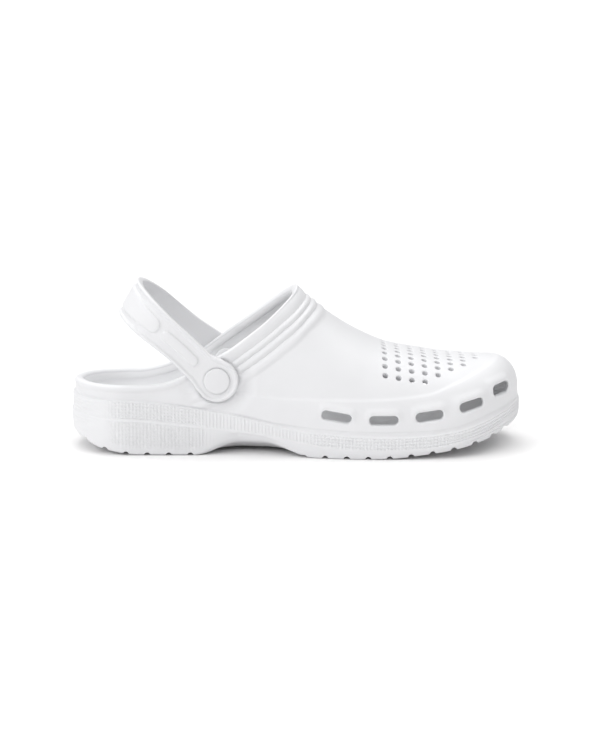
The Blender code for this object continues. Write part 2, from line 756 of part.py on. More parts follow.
def build_footbed(shell, wall_loop):
    """Rounds the lining's foot into the footbed and closes it."""
    x = outline(TURNS)[0][:, 0]
    footbed, feather = station("footbed", x), station("feather", x)
    inset = UPPER_INSET + WALL
    cup = shell.add(side_point(TURNS, np.full(len(x), -inset - 1.6), footbed + 0.35 * (feather - footbed)))
    bed = shell.add(side_point(TURNS, np.full(len(x), -inset - 7.0), footbed + 0.04 * (feather - footbed)))
    shell.strip(cup, wall_loop)
    shell.strip(bed, cup)
    shell.span(bed)


def build_body(material):
    shell = Shell()
    rings = hole_rings()
    feet, heads = layout(0.0)
    skin_loops = lay_skin(shell, skin, feet, skin_rows(feet, heads), heads, rings)
    inner_feet, inner_heads = layout(WALL)
    inner_rings = [ring_on_lining(ring) for ring in rings]
    rows = even_rows(inner_feet, inner_heads, LINING_ROWS)
    lining_loops = lay_skin(shell, lining, inner_feet, rows, inner_heads, inner_rings)
    for outer, inner in zip(skin_loops[2:], lining_loops[2:]):
        shell.strip(outer, inner)
    rim_out = np.array([shell.points[k] for k in skin_loops[1]])
    rim_in = np.array([shell.points[k] for k in lining_loops[1]])
    crest_out = shell.add(rim_out * 0.72 + rim_in * 0.28 + np.array((0.0, 0.0, RIM_ROLL)))
    crest_in = shell.add(rim_out * 0.28 + rim_in * 0.72 + np.array((0.0, 0.0, RIM_ROLL)))
    shell.strip(skin_loops[1], crest_out)
    shell.strip(crest_out, crest_in)
    shell.strip(crest_in, lining_loops[1])
    build_sole(shell, skin_loops[0])
    build_footbed(shell, lining_loops[0])
    return shell.build("clog_body", material)


def rod(name, radius, length, centre, sides):
    """Upright-sided rod that lies across the shoe, used to cut."""
    shell = Shell()
    ends = []
    for side in (-0.5, 0.5):
        ring = circle(radius, sides)
        ends.append(shell.add([(centre[0] + a, centre[1] + side * length, centre[2] + b) for a, b in ring]))
    shell.strip(*ends)
    shell.faces += [tuple(ends[0]), tuple(ends[1])]
    return shell.build(name, None)


def joined(name, pieces):
    work = bmesh.new()
    for piece in pieces:
        work.from_mesh(piece.data)
        bpy.data.objects.remove(piece)
    mesh = bpy.data.meshes.new(name)
    work.to_mesh(mesh)
    work.free()
    obj = bpy.data.objects.new(name, mesh)
    bpy.context.scene.collection.objects.link(obj)
    return obj


def cut(obj, cutter):
    cutter.hide_render = True
    cutter.display_type = "WIRE"
    modifier = obj.modifiers.new("cut_" + cutter.name, "BOOLEAN")
    modifier.operation = "DIFFERENCE"
    modifier.solver = "EXACT"
    modifier.object = cutter


def tread_cutter():
    rods = []
    for first, pitch, count in (HEEL_TREAD, FOREFOOT_TREAD, TOE_TREAD):
        for k in range(count):
            x = first + pitch * k
            z = float(station("bottom", np.array((x,)))[0])
            rods.append(rod("tread_rod", TREAD_RADIUS, 130.0, (x, 0.0, z), 8))
    return joined("tread_cutter", rods)


def strap_frame(along, width, side_y):
    """Carries strap measures (along the arm, across its width, sideways) to the shoe's frame."""
    back = np.array((-math.cos(STRAP_ANGLE), 0.0, math.sin(STRAP_ANGLE)))
    up = np.array((math.sin(STRAP_ANGLE), 0.0, math.cos(STRAP_ANGLE)))
    pivot = np.array((0.0, 0.0, PIVOT_Z))
    reach = along + STRAP_LEAN * width * np.clip(along / STRAP_REACH, 0.0, 1.0) ** 2
    skew = STRAP_SKEW * np.clip(-side_y / 36.0, -1.0, 1.0) * smoothstep(8.0, 36.0, along)
    point = pivot + reach[..., None] * back + (width + skew)[..., None] * up
    point[..., 0] += pivot_x(side_y)
    point[..., 1] = side_y
    return point


def strap_path():
    """Middle line of the strap round the heel from lobe to lobe: along and sideways, and its run."""
    middle = PIVOT_SEAT + FIT_GAP + 0.5 * STRAP_THICK
    bend = np.linspace(0.0, 0.5 * math.pi, 400)
    power = 2.0 / STRAP_BEND_SQUARE
    reach = STRAP_REACH - 0.5 * STRAP_THICK - STRAP_STRAIGHT
    along = np.concatenate(((0.0,), STRAP_STRAIGHT + reach * np.sin(bend) ** power))
    sideways = np.concatenate(((-middle,), -middle * np.cos(bend) ** power))
    line = np.stack((along, sideways), axis=1)
    line = np.concatenate((line, line[-2::-1] * np.array((1.0, -1.0))))
    length = np.linalg.norm(np.diff(line, axis=0), axis=1).sum()
    half = list(np.linspace(0.0, 0.5 * length, 21))
    for start, end in PADS:
        ends = [edge for edge in (start, end) if edge < 0.5 * length]
        half += [edge + side * 0.35 for edge in ends for side in (-1.0, 1.0)]
    half = np.sort(np.array(half))
    run = np.concatenate((half, length - half[-2::-1]))
    return pick(run / length, shares(line), line), run, length


def strap_half_width(along):
    return hermite(STRAP_WIDTH["along"], STRAP_WIDTH["half_width"], along)


def strap_section(half, pad):
    """Across the strap: edge, border, panel and pad, as (width, depth below the relief's top)."""
    inner = max(half - STRAP_BORDER, 0.3 * half)
    pad_half = PAD_SHARE * inner
    low, border = STRAP_RELIEF, 0.3 * STRAP_RELIEF
    top = 0.0 if pad else low
    side = ((half, border), (inner, border), (inner - 0.12 * half * 0.4, low),
            (pad_half + 0.04 * half, low), (pad_half, top))
    return [(-width, depth) for width, depth in side] + [(width, depth) for width, depth in side[::-1]]


def build_strap(material):
    shell = Shell()
    line, run, length = strap_path()
    ahead = np.gradient(line, axis=0)
    ahead /= np.linalg.norm(ahead, axis=1, keepdims=True)
    outward = np.stack((ahead[:, 1], -ahead[:, 0]), axis=1)
    body = 0.5 * STRAP_THICK
    lobe = np.linspace(0.12, 0.5 * math.pi, 8)[:-1]
    places = [(line[0] - ahead[0] * LOBE_RADIUS * math.cos(turn), outward[0],
               LOBE_RADIUS * math.sin(turn), False) for turn in lobe]
    for k in range(len(line)):
        from_end = min(run[k], length - run[k])
        pad = any(start <= from_end <= end for start, end in PADS)
        places.append((line[k], outward[k], float(strap_half_width(line[k, :1])[0]), pad))
    places += [(line[-1] + ahead[-1] * LOBE_RADIUS * math.cos(turn), outward[-1],
                LOBE_RADIUS * math.sin(turn), False) for turn in lobe[::-1]]
    rings = []
    for place, out, half, pad in places:
        loop = [(width, body - depth) for width, depth in strap_section(half, pad)]
        loop += [(half, -body), (-half, -body)]
        ring = []
        for width, depth in loop:
            spot = place + out * depth
            ring.append(strap_frame(np.array(spot[0]), np.array(width), spot[1]))
        rings.append(shell.add(ring))
    for first, second in zip(rings, rings[1:]):
        shell.strip(first, second)
    shell.faces += [tuple(rings[0]), tuple(rings[-1])]
    return shell.build("heel_strap", material)


def lathe(name, profile, side, material, sides=16):
    """Solid of revolution about the pivot axis. profile rows are (distance from the axis, |y|)."""
    shell = Shell()
    pivot = float(pivot_x(side * PIVOT_SEAT))
    loops = []
    for radius, away in profile:
        if radius == 0.0:
            loops.append(shell.add([(pivot, side * away, PIVOT_Z)]))
        else:
            ring = circle(radius, sides)
            loops.append(shell.add([(pivot + a, side * away, PIVOT_Z + b) for a, b in ring]))
    closed = loops[0] if len(loops[0]) > 1 else None
    for first, second in zip(loops, loops[1:] + ([closed] if closed else [])):
        if len(first) == 1:
            shell.fan(second, first[0])
        elif len(second) == 1:
            shell.fan(first, second[0])
        else:
            shell.strip(first, second)
    return shell.build(name, material)


def build_rivet(name, side, material):
    strap_face = PIVOT_SEAT + FIT_GAP + STRAP_THICK
    seat = strap_face - BUTTON_SEAT_DEPTH + FIT_GAP
    inner_end = PIVOT_SEAT - WALL - FIT_GAP - WASHER_THICK
    profile = (
        (0.0, inner_end),
        (STEM_RADIUS - 0.8, inner_end),
        (STEM_RADIUS, inner_end + 0.8),
        (STEM_RADIUS, seat),
        (BUTTON_RADIUS - 0.3, seat),
        (BUTTON_RADIUS, seat + 0.3),
        (BUTTON_RADIUS, strap_face - 0.3),
        (BUTTON_RADIUS - 0.9, strap_face + 0.3),
        (0.55 * BUTTON_RADIUS, strap_face + 0.6),
        (0.0, strap_face + 0.7),
    )
    return lathe(name, profile, side, material)


def build_washer(name, side, material):
    outer = PIVOT_SEAT - WALL - FIT_GAP
    inner = outer - WASHER_THICK
    hole = STEM_RADIUS + FIT_GAP
    profile = (
        (hole, outer),
        (WASHER_RADIUS - 0.3, outer),
        (WASHER_RADIUS, outer - 0.4),
        (WASHER_RADIUS, inner + 0.7),
        (WASHER_RADIUS - 0.8, inner),
        (hole, inner),
    )
    return lathe(name, profile, side, material)


def foam(name, colour, roughness):
    material = bpy.data.materials.new(name)
    material.use_nodes = True
    shader = material.node_tree.nodes["Principled BSDF"]
    shader.inputs["Base Color"].default_value = (*colour, 1.0)
    shader.inputs["Roughness"].default_value = roughness
    material.diffuse_color = (*colour, 1.0)
    return material


def main():
    for obj in list(bpy.data.objects):
        bpy.data.objects.remove(obj)
    body = build_body(foam("body_foam", (0.86, 0.86, 0.87), 0.5))
    cut(body, tread_cutter())
    strap = build_strap(foam("strap_foam", (0.85, 0.85, 0.86), 0.5))
    cutters = []
    for side in (-1.0, 1.0):
        face = PIVOT_SEAT + FIT_GAP + STRAP_THICK
        pivot = float(pivot_x(side * PIVOT_SEAT))
        cutters.append(rod("stem_rod", STEM_RADIUS + FIT_GAP + 0.1, 30.0, (pivot, side * face, PIVOT_Z), 16))
    cut(strap, joined("stem_cutter", cutters))
    cutters = []
    for side in (-1.0, 1.0):
        face = PIVOT_SEAT + FIT_GAP + STRAP_THICK
        pivot = float(pivot_x(side * PIVOT_SEAT))
        cutters.append(rod("button_rod", BUTTON_SEAT_RADIUS, 20.0,
                           (pivot, side * (face - BUTTON_SEAT_DEPTH + 10.0), PIVOT_Z), 16))
    cut(strap, joined("button_cutter", cutters))
    button = foam("button_plastic", (0.84, 0.84, 0.85), 0.35)
    for label, side in (("lateral", -1.0), ("medial", 1.0)):
        build_rivet("rivet_" + label, side, button)
        build_washer("washer_" + label, side, button)


main()
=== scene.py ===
"""Looks of the white foam clog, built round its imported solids.

Sizes are millimetres in the shoe's own frame, as in the part's source: x from the heel's back to the toe,
y from the outer (lateral) side to the inner (medial) side, z up from the floor. Last, sole and strap have the
form of the solids, drawn here with fine rows, rounded edges, brows over the vents and the small ribs of the
sole's side. Perforations, vents, the heel's tier line and the top of the forefoot band are fitted a little
closer to the photo.
"""

import math
from collections import Counter

import bmesh
import bpy
import numpy as np
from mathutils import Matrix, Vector
from mathutils.geometry import delaunay_2d_cdt


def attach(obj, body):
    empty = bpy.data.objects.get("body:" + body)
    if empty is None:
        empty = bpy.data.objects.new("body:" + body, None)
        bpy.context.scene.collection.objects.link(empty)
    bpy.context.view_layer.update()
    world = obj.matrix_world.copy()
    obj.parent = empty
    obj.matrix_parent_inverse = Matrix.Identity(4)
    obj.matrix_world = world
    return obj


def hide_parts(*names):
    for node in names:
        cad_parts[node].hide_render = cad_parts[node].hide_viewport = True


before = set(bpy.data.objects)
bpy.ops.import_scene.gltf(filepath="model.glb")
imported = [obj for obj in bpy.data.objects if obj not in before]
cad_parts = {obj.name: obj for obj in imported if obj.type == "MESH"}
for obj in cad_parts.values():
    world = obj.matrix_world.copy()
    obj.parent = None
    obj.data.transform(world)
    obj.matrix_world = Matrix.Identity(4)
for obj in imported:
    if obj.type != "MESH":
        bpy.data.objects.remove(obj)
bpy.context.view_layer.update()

MM = 0.001
WHITE = (1.0, 1.0, 1.0, 1.0)

# Last
LENGTH = 285.8
HEEL_CENTRE = 38.0
TOE_CENTRE = 240.0
HALF_GIRTH = 60.0
END_SQUARE = 2.6
WALL = 4.0
UPPER_INSET = 1.9

# Collar
RIM_ROLL = 1.9
RIM_DIP = 1.9
RIM_DIP_X = (84.0, 106.0, 122.0, 146.0)
RIDGES = (
    (-3.0, 7.2, 1.5),
    (7.2, 11.3, 1.25),
    (11.3, 16.2, 1.45),
    (16.2, 22.6, 1.2),
)
RIDGE_FADE_X = (72.0, 88.0)
HEEL_BEAD = (-1.6, 2.5, 0.7)
INNER_STEPS = ((3.7, 4.3, 1.1), (6.0, 7.0, 0.2))
INNER_SWELL = 0.35
INNER_MARKS = (0.4, 1.0, 1.7, 2.4, 3.1, 3.6, 3.8, 4.0, 4.2, 4.4, 4.9, 5.5, 6.0, 6.3, 6.5, 6.7, 7.0, 7.6)

# Bumper, vents and toe lines
BUMPER = 0.9
LEDGE_RUN = 1.5
LEDGE_FADE_X = (50.0, 84.0)
VENTS = (
    (168.3, 26.6, 19.0, 6.2, -9.0),
    (197.6, 24.8, 18.3, 6.2, 0.0),
    (226.0, 27.2, 17.7, 6.5, 8.0),
    (252.3, 32.8, 17.4, 6.6, 16.0),
    (271.5, 39.9, 17.2, 7.7, 22.0),
)
VENT_POINTS = 44
BROW_HEIGHT = 1.2
VENT_PULL = 0.9
BROW_REACH = (2.2, 4.6)
TOE_LINE_PITCH = 2.3
TOE_LINE_DEPTH = 0.4
TOE_LINE_X = (246.0, 258.0)
TOE_LINE_TOP = (4.0, 7.0)

# Perforations
HOLE_RADIUS = 1.78
HOLE_FIRST_X = 198.6
HOLE_PITCH_X = 8.3
HOLE_PITCH_SIDE = 7.1
HOLE_ROWS = (7, 7, 7, 7, 6, 5, 4, 2)
HOLE_POINTS = 16
HOLE_EDGE = ((0.6, 0.0), (0.4, 0.04), (0.22, 0.14), (0.08, 0.32), (0.0, 0.62))
VENT_EDGE = ((1.1, 0.0), (0.75, 0.06), (0.42, 0.22), (0.16, 0.52), (0.0, 1.0))
STEM_EDGE = ((0.3, 0.0), (0.0, 0.3))

# Sole
BAND_STEP = 1.35
BAND_RAISE = 1.6
BAND_RAISE_X = (140.0, 172.0, 232.0, 262.0)
TIER_OUT = (0.75, 1.1)
TIER_GROW_X = (0.0, 24.0)
TIER_FADE_X = (60.0, 110.0)
TIER_TAPER = 0.5
TIER_LIFT = ((0.0, 5.4), (12.0, 3.7), (20.0, 2.5), (31.5, 1.3), (47.0, 0.4), (62.0, 0.0), (300.0, 0.0))
TIER_STEP_HEEL = 0.3
EDGE_ROUND = 1.7
END_EDGE_ROUND = 5.0
EDGE_HEIGHT = 1.5
UNDERSIDE_ROW = 13.0
ARCH_X = (79.0, 108.0, 122.0, 155.0)
ARCH_RISE = 2.4
ARCH_HOLLOW = 4.5
ARCH_UNDERCUT = 8.0
RIB_PITCH = 2.2
RIB_DEPTH = 0.6
RIB_ROUND = 0.7
RIB_COLUMNS = 4
PLAIN_COLUMN = 0.9
BAND_RIBS_X = (20.0, 28.0, 246.0, 262.0)
TIER_RIBS_X = (22.0, 30.0, 84.0, 94.0)
UNCROSSED_RIBS_X = (74.0, 94.0, 140.0, 160.0)
GRID_PITCH = 2.0
TIER_LINES = 9
TOE_GROOVES_X = (242.0, 258.0)
HEEL_GROOVES_X = (12.0, 26.0)
HEEL_GROOVES_SHARE = 0.4
GROOVE_DEPTH = 0.65
TREAD_RADIUS = 1.9
TREADS = ((9.1, 13.5, 6), (147.8, 13.4, 9), (266.8, 7.8, 2))

# Strap and rivets
PIVOT_X = 95.25
PIVOT_SKEW = 1.75
PIVOT_Z = 47.8
PIVOT_SEAT = 34.6
SEAT_FLAT = 17.5
SEAT_FADE = 26.0
FIT_GAP = 0.3
STRAP_ANGLE = math.radians(39.4)
STRAP_REACH = 76.5
STRAP_LEAN = 0.16
STRAP_SKEW = 1.9
STRAP_THICK = 4.2
STRAP_STRAIGHT = 30.0
STRAP_LEAD = 20.0
STRAP_BEND_SQUARE = 2.15
LOBE_RADIUS = 13.5
STRAP_WIDTHS = (
    (0.0, 13.5),
    (6.0, 12.4),
    (14.0, 10.4),
    (24.0, 10.3),
    (42.0, 10.7),
    (60.0, 11.9),
    (76.5, 12.4),
)
HEEL_PAD_START = 52.9
HEEL_PAD_GROW = (52.0, 80.0)
HEEL_PAD_BORDER = 2.4
ARM_PAD = (19.4, 41.7)
ARM_PAD_HALF = 3.1
BUTTON_RADIUS = 8.0
BUTTON_DOME = ((0.7, 0.4), (0.5, 0.52), (0.3, 0.61), (0.12, 0.66), (0.0, 0.67))
BUTTON_SEAT_RADIUS = 8.9
BUTTON_SEAT_DEPTH = 1.6
STEM_RADIUS = 3.8
STEM_HOLE_RADIUS = 4.5
WASHER_RADIUS = 7.4
WASHER_THICK = 2.2

STATION_COLUMNS = (
    "x", "lateral", "medial", "axis", "height", "square",
    "feather", "band_top", "band_bottom", "bottom", "ledge", "footbed",
)
STATIONS = (
    (0.0, 37.5, 37.5, 0.0, 112.0, 2.2, 35.8, 34.8, 18.5, 11.5, 42.0, 27.0),
    (10.0, 37.5, 37.5, 0.0, 113.0, 2.2, 35.7, 34.7, 19.6, 7.2, 41.7, 26.8),
    (20.0, 37.5, 37.5, 0.0, 114.0, 2.2, 35.6, 34.6, 20.5, 3.4, 41.5, 26.5),
    (45.0, 37.5, 37.5, 0.0, 115.0, 2.2, 34.8, 33.8, 21.5, 0.0, 41.0, 26.0),
    (70.0, 37.5, 37.5, 0.0, 113.0, 2.2, 32.2, 31.0, 19.5, 0.0, 40.5, 26.0),
    (92.0, 37.6, 37.2, 0.0, 107.0, 2.2, 29.0, 27.8, 16.8, 0.0, 40.0, 25.5),
    (112.0, 39.0, 37.0, 0.0, 99.0, 2.2, 25.4, 24.0, 15.0, 0.0, 39.2, 24.5),
    (135.0, 42.2, 40.0, 0.0, 86.0, 2.3, 21.0, 18.6, 11.5, 0.0, 37.0, 21.5),
    (160.0, 46.2, 44.8, 0.0, 67.6, 2.45, 18.6, 14.4, 7.0, 0.0, 36.8, 18.0),
    (180.0, 48.8, 48.2, 0.1, 55.3, 2.6, 17.8, 12.8, 5.4, 0.0, 37.2, 16.0),
    (200.0, 50.0, 50.2, 0.5, 46.5, 2.65, 17.6, 12.4, 5.2, 0.4, 37.7, 15.2),
    (225.0, 49.6, 51.0, 1.6, 41.0, 2.6, 18.2, 13.2, 6.5, 2.9, 40.0, 16.4),
    (240.0, 48.6, 50.8, 2.8, 37.2, 2.6, 19.8, 15.4, 8.7, 5.0, 44.8, 18.0),
    (262.0, 46.6, 49.2, 4.8, 32.2, 2.6, 26.0, 22.0, 14.2, 9.8, 52.5, 23.4),
    (285.8, 44.5, 47.0, 7.5, 32.2, 2.6, 32.5, 30.0, 23.0, 18.0, 60.0, 29.5),
)
COLLAR = (
    (-10.0, 43.0, 0.0),
    (0.0, 41.6, -0.6),
    (13.0, 40.2, -1.7),
    (27.0, 39.3, -2.6),
    (40.0, 39.2, -2.8),
    (55.0, 41.8, -0.9),
    (68.0, 46.9, 0.7),
    (80.0, 52.4, 0.4),
    (94.0, 62.4, 1.0),
    (116.0, 78.8, 1.2),
    (136.0, 94.4, 0.8),
    (150.0, 105.2, 0.0),
    (170.0, 120.0, 0.0),
    (320.0, 231.0, 0.0),
)


def columns(names, rows):
    return dict(zip(names, np.array(rows, dtype=float).T))


STATION = columns(STATION_COLUMNS, STATIONS)
COLLAR_LINE = columns(("x", "z", "drop"), COLLAR)
STRAP_WIDTH = columns(("along", "half_width"), STRAP_WIDTHS)


def hermite(xs, ys, x):
    """Smooth curve through a short table, without overshoot between its rows."""
    step = np.diff(xs)
    slope = np.diff(ys) / step
    product = slope[:-1] * slope[1:]
    total = slope[:-1] + slope[1:]
    inner = np.where(product > 0.0, 2.0 * product / np.where(total == 0.0, 1.0, total), 0.0)
    tangent = np.concatenate((slope[:1], inner, slope[-1:]))
    x = np.clip(x, xs[0], xs[-1])
    k = np.clip(np.searchsorted(xs, x, side="right") - 1, 0, len(xs) - 2)
    t = (x - xs[k]) / step[k]
    rise = ys[k] * (1.0 + 2.0 * t) * (1.0 - t) ** 2 + ys[k + 1] * t * t * (3.0 - 2.0 * t)
    lean = tangent[k] * t * (1.0 - t) ** 2 - tangent[k + 1] * t * t * (1.0 - t)
    return rise + lean * step[k]


def station(name, x):
    return hermite(STATION["x"], STATION[name], x)


def smoothstep(low, high, x):
    t = np.clip((x - low) / (high - low), 0.0, 1.0)
    return t * t * (3.0 - 2.0 * t)


def span(low, rise, fall, high, x):
    """Goes up from low to rise and down again from fall to high."""
    return smoothstep(low, rise, x) * (1.0 - smoothstep(fall, high, x))


def swell(start, end, x):
    return np.sin(math.pi * np.clip((x - start) / (end - start), 0.0, 1.0))


def lateral(y):
    return smoothstep(-4.0, 14.0, -y)


def unit(vectors):
    return vectors / np.maximum(np.linalg.norm(vectors, axis=1, keepdims=True), 1e-12)


def collar(x, y):
    drop = hermite(COLLAR_LINE["x"], COLLAR_LINE["drop"], x)
    return hermite(COLLAR_LINE["x"], COLLAR_LINE["z"], x) - drop * lateral(y)


def last(flat, inset):
    """Carries points of the flat pattern to the upper's outer form, taken in by inset all round."""
    along, across = flat[:, 0], flat[:, 1]
    spine = np.clip(along, HEEL_CENTRE, TOE_CENTRE)
    beyond = along - spine
    reach = np.maximum(np.hypot(beyond, across), 1e-9)
    forward = beyond / reach
    sideways = np.where(across < 0.0, -1.0, 1.0) * np.sqrt(np.maximum(1.0 - forward ** 2, 0.0))
    roll = np.minimum(reach / HALF_GIRTH, 1.0) * math.pi / 2.0
    end = np.where(beyond > 0.0, LENGTH - TOE_CENTRE, HEEL_CENTRE) - UPPER_INSET - inset
    nominal = spine + forward * np.sin(roll) * end
    square = station("square", nominal) * sideways ** 2 + END_SQUARE * forward ** 2
    size = (np.sin(roll) ** square + np.cos(roll) ** square) ** (1.0 / square)
    out, up = np.sin(roll) / size, np.cos(roll) / size
    x = spine + forward * out * end
    half = np.where(across < 0.0, station("lateral", x), station("medial", x)) - UPPER_INSET - inset
    y = station("axis", x) + sideways * out * half
    z = station("feather", x) + (station("height", x) - inset) * up
    return np.stack((x, y, z), axis=1)


def slopes(surface, flat, step=0.04):
    along, across = np.array((step, 0.0)), np.array((0.0, step))
    return (
        (surface(flat + along) - surface(flat - along)) / (2.0 * step),
        (surface(flat + across) - surface(flat - across)) / (2.0 * step),
    )


def normals(surface, flat):
    return unit(np.cross(*slopes(surface, flat)))


def plain_skin(flat):
    return last(flat, 0.0)


def settle(surface, flat, target, rounds=10):
    """Moves flat points until the surface passes nearest to the target points."""
    flat = flat.copy()
    for k in range(rounds):
        share = 1.0 if k < 5 else 0.5
        along, across = slopes(surface, flat)
        miss = share * (target - surface(flat))
        aa, ab, bb = (along * along).sum(1), (along * across).sum(1), (across * across).sum(1)
        am, bm = (along * miss).sum(1), (across * miss).sum(1)
        det = np.maximum(aa * bb - ab * ab, 1e-9)
        flat[:, 0] += np.clip((bb * am - ab * bm) / det, -8.0, 8.0)
        flat[:, 1] += np.clip((aa * bm - ab * am) / det, -8.0, 8.0)
    return flat


def locate(surface, start, axes, wanted, rounds=40):
    """Flat points where two of the surface's coordinates have the wanted values."""
    flat, wanted = np.array(start, dtype=float), np.array(wanted, dtype=float)
    first, second = axes
    for _ in range(rounds):
        along, across = slopes(surface, flat)
        miss = wanted - surface(flat)[:, list(axes)]
        det = along[:, first] * across[:, second] - across[:, first] * along[:, second]
        det = np.where(np.abs(det) < 1e-6, 1e-6, det)
        step_along = (miss[:, 0] * across[:, second] - across[:, first] * miss[:, 1]) / det
        step_across = (along[:, first] * miss[:, 1] - miss[:, 0] * along[:, second]) / det
        flat[:, 0] += np.clip(step_along, -4.0, 4.0)
        flat[:, 1] += np.clip(step_across, -4.0, 4.0)
    return flat


def hole_frames(centres, tilts):
    """Middle of each hole on the plain skin, with its directions along the shoe and up."""
    middle, normal = plain_skin(centres), normals(plain_skin, centres)
    run = unit(np.array((1.0, 0.0, 0.0)) - normal * normal[:, :1])
    rise = np.cross(normal, run)
    rise *= np.where(rise[:, 2:] < 0.0, -1.0, 1.0)
    lean = np.radians(tilts)[:, None]
    return middle, run * np.cos(lean) + rise * np.sin(lean), rise * np.cos(lean) - run * np.sin(lean)


def vent_centres():
    centres, tilts = [], []
    for side in (-1.0, 1.0):
        for x, z, _, _, tilt in VENTS:
            start = (TOE_CENTRE + 0.6 * (x - TOE_CENTRE) if x > TOE_CENTRE else x, side * 0.75 * HALF_GIRTH)
            centres.append(locate(plain_skin, (start,), (0, 2), ((x, z),))[0])
            tilts.append(tilt)
    return np.array(centres), np.array(tilts)


VENT_CENTRES, VENT_TILTS = vent_centres()
VENT_FRAMES = hole_frames(VENT_CENTRES, VENT_TILTS)


def from_rim(point):
    """Distance of a wall point below the collar's edge, measured square to the edge."""
    x, y, z = point.T
    rise = collar(x + 0.5, y) - collar(x - 0.5, y)
    return (collar(x, y) - z) / np.hypot(1.0, rise)


def brows(point):
    """Soft hood over the top of each vent."""
    height = np.zeros(len(point))
    for k in range(len(VENT_CENTRES)):
        middle, run, rise = (part[k] for part in VENT_FRAMES)
        _, _, length, tall, _ = VENTS[k % len(VENTS)]
        offset = point - middle
        u, v = offset @ run, offset @ rise
        across = 1.0 - smoothstep(0.46 * length, 0.46 * length + 4.0, np.abs(u))
        edge = 0.5 * tall
        up = 1.0 - smoothstep(edge + BROW_REACH[0], edge + BROW_REACH[1], v)
        up *= smoothstep(-0.9 * edge, 0.8 * edge, v)
        near = (np.abs(offset @ np.cross(run, rise)) < 12.0) & (np.abs(u) < 30.0)
        height = np.maximum(height, np.where(near, BROW_HEIGHT * across * up, 0.0))
    return height


def pivot_x(y):
    return PIVOT_X + PIVOT_SKEW * np.clip(y / 30.0, -1.0, 1.0)


def from_pivot(point):
    return np.hypot(point[:, 0] - pivot_x(point[:, 1]), point[:, 2] - PIVOT_Z)


def strap_width(along):
    return hermite(STRAP_WIDTH["along"], STRAP_WIDTH["half_width"], along)


def from_strap(point):
    """Distance of a wall point from the strap's lobe and arm, seen from the side."""
    x, z = point[:, 0] - pivot_x(point[:, 1]), point[:, 2] - PIVOT_Z
    along = -x * math.cos(STRAP_ANGLE) + z * math.sin(STRAP_ANGLE)
    width = x * math.sin(STRAP_ANGLE) + z * math.cos(STRAP_ANGLE)
    arm = np.abs(width) - strap_width(along)
    lobe = np.hypot(along, width) - LOBE_RADIUS
    return np.where(along > 0.0, np.minimum(arm, lobe), lobe)


def relief(point):
    """Height of collar ridges, bumper, brows and toe lines over the plain upper."""
    x, z = point[:, 0], point[:, 2]
    depth = from_rim(point)
    ridges = np.zeros(len(point))
    for start, end, height in RIDGES:
        inside = (depth >= start) & (depth < end)
        ridges += np.where(inside, height * swell(start, end, depth), 0.0)
    clear = smoothstep(0.4, 1.6, from_strap(point))
    front = smoothstep(*RIDGE_FADE_X, x)
    crest = 0.7 + 0.3 * smoothstep(4.0, 24.0, np.abs(point[:, 1]))
    start, end, height = HEEL_BEAD
    ridges = ridges * front * crest + height * swell(start, end, depth) * (1.0 - front)
    bumper = 1.0 - smoothstep(-LEDGE_RUN, LEDGE_RUN, z - station("ledge", x))
    bumper *= smoothstep(*LEDGE_FADE_X, x)
    over = z - station("feather", x)
    lines = 0.5 - 0.5 * np.cos(2.0 * math.pi * over / TOE_LINE_PITCH)
    lines *= smoothstep(*TOE_LINE_X, x) * (1.0 - smoothstep(*TOE_LINE_TOP, over))
    return (ridges + BUMPER * bumper) * clear + brows(point) - TOE_LINE_DEPTH * lines


def seated(point, plane):
    """Pulls the wall to an upright plane where a strap lobe or a washer sits on it."""
    share = 1.0 - smoothstep(SEAT_FLAT, SEAT_FADE, from_pivot(point))
    side = np.where(point[:, 1] < 0.0, -1.0, 1.0)
    moved = point.copy()
    moved[:, 1] += share * (side * plane - point[:, 1])
    return moved


def skin(flat):
    plain = plain_skin(flat)
    return seated(plain, PIVOT_SEAT) + normals(plain_skin, flat) * relief(plain)[:, None]


def plain_lining(flat):
    return last(flat, WALL)


def lining(flat):
    """Inner wall, with the rolled bead under the collar's edge."""
    plain = plain_lining(flat)
    depth = from_rim(plain) - (collar(plain[:, 0], plain[:, 1]) - rim_line(plain[:, 0], plain[:, 1]))
    bead = INNER_SWELL * swell(0.0, INNER_STEPS[0][0], depth)
    for start, end, height in INNER_STEPS:
        bead += height * (1.0 - smoothstep(start, end, depth))
    bead *= smoothstep(8.5, 11.0, from_pivot(plain))
    return seated(plain, PIVOT_SEAT - WALL) - normals(plain_lining, flat) * bead[:, None]


def bound(low, high, count):
    return np.linspace(low, high, count, endpoint=False)


def pattern_edge():
    """Half of the flat pattern's outer edge, from the heel along the lateral side to the toe."""
    heel = bound(math.pi, 1.5 * math.pi, 300)
    toe = np.linspace(1.5 * math.pi, 2.0 * math.pi, 300)
    side = bound(HEEL_CENTRE, TOE_CENTRE, 600)
    return np.concatenate((
        np.stack((HEEL_CENTRE + HALF_GIRTH * np.cos(heel), HALF_GIRTH * np.sin(heel)), axis=1),
        np.stack((side, np.full_like(side, -HALF_GIRTH)), axis=1),
        np.stack((TOE_CENTRE + HALF_GIRTH * np.cos(toe), HALF_GIRTH * np.sin(toe)), axis=1),
    ))


def rim_line(x, y):
    """Height of the collar's edge, which dips into the first ridge on the lateral side."""
    return collar(x, y) - RIM_DIP * span(*RIM_DIP_X, x) * lateral(y)


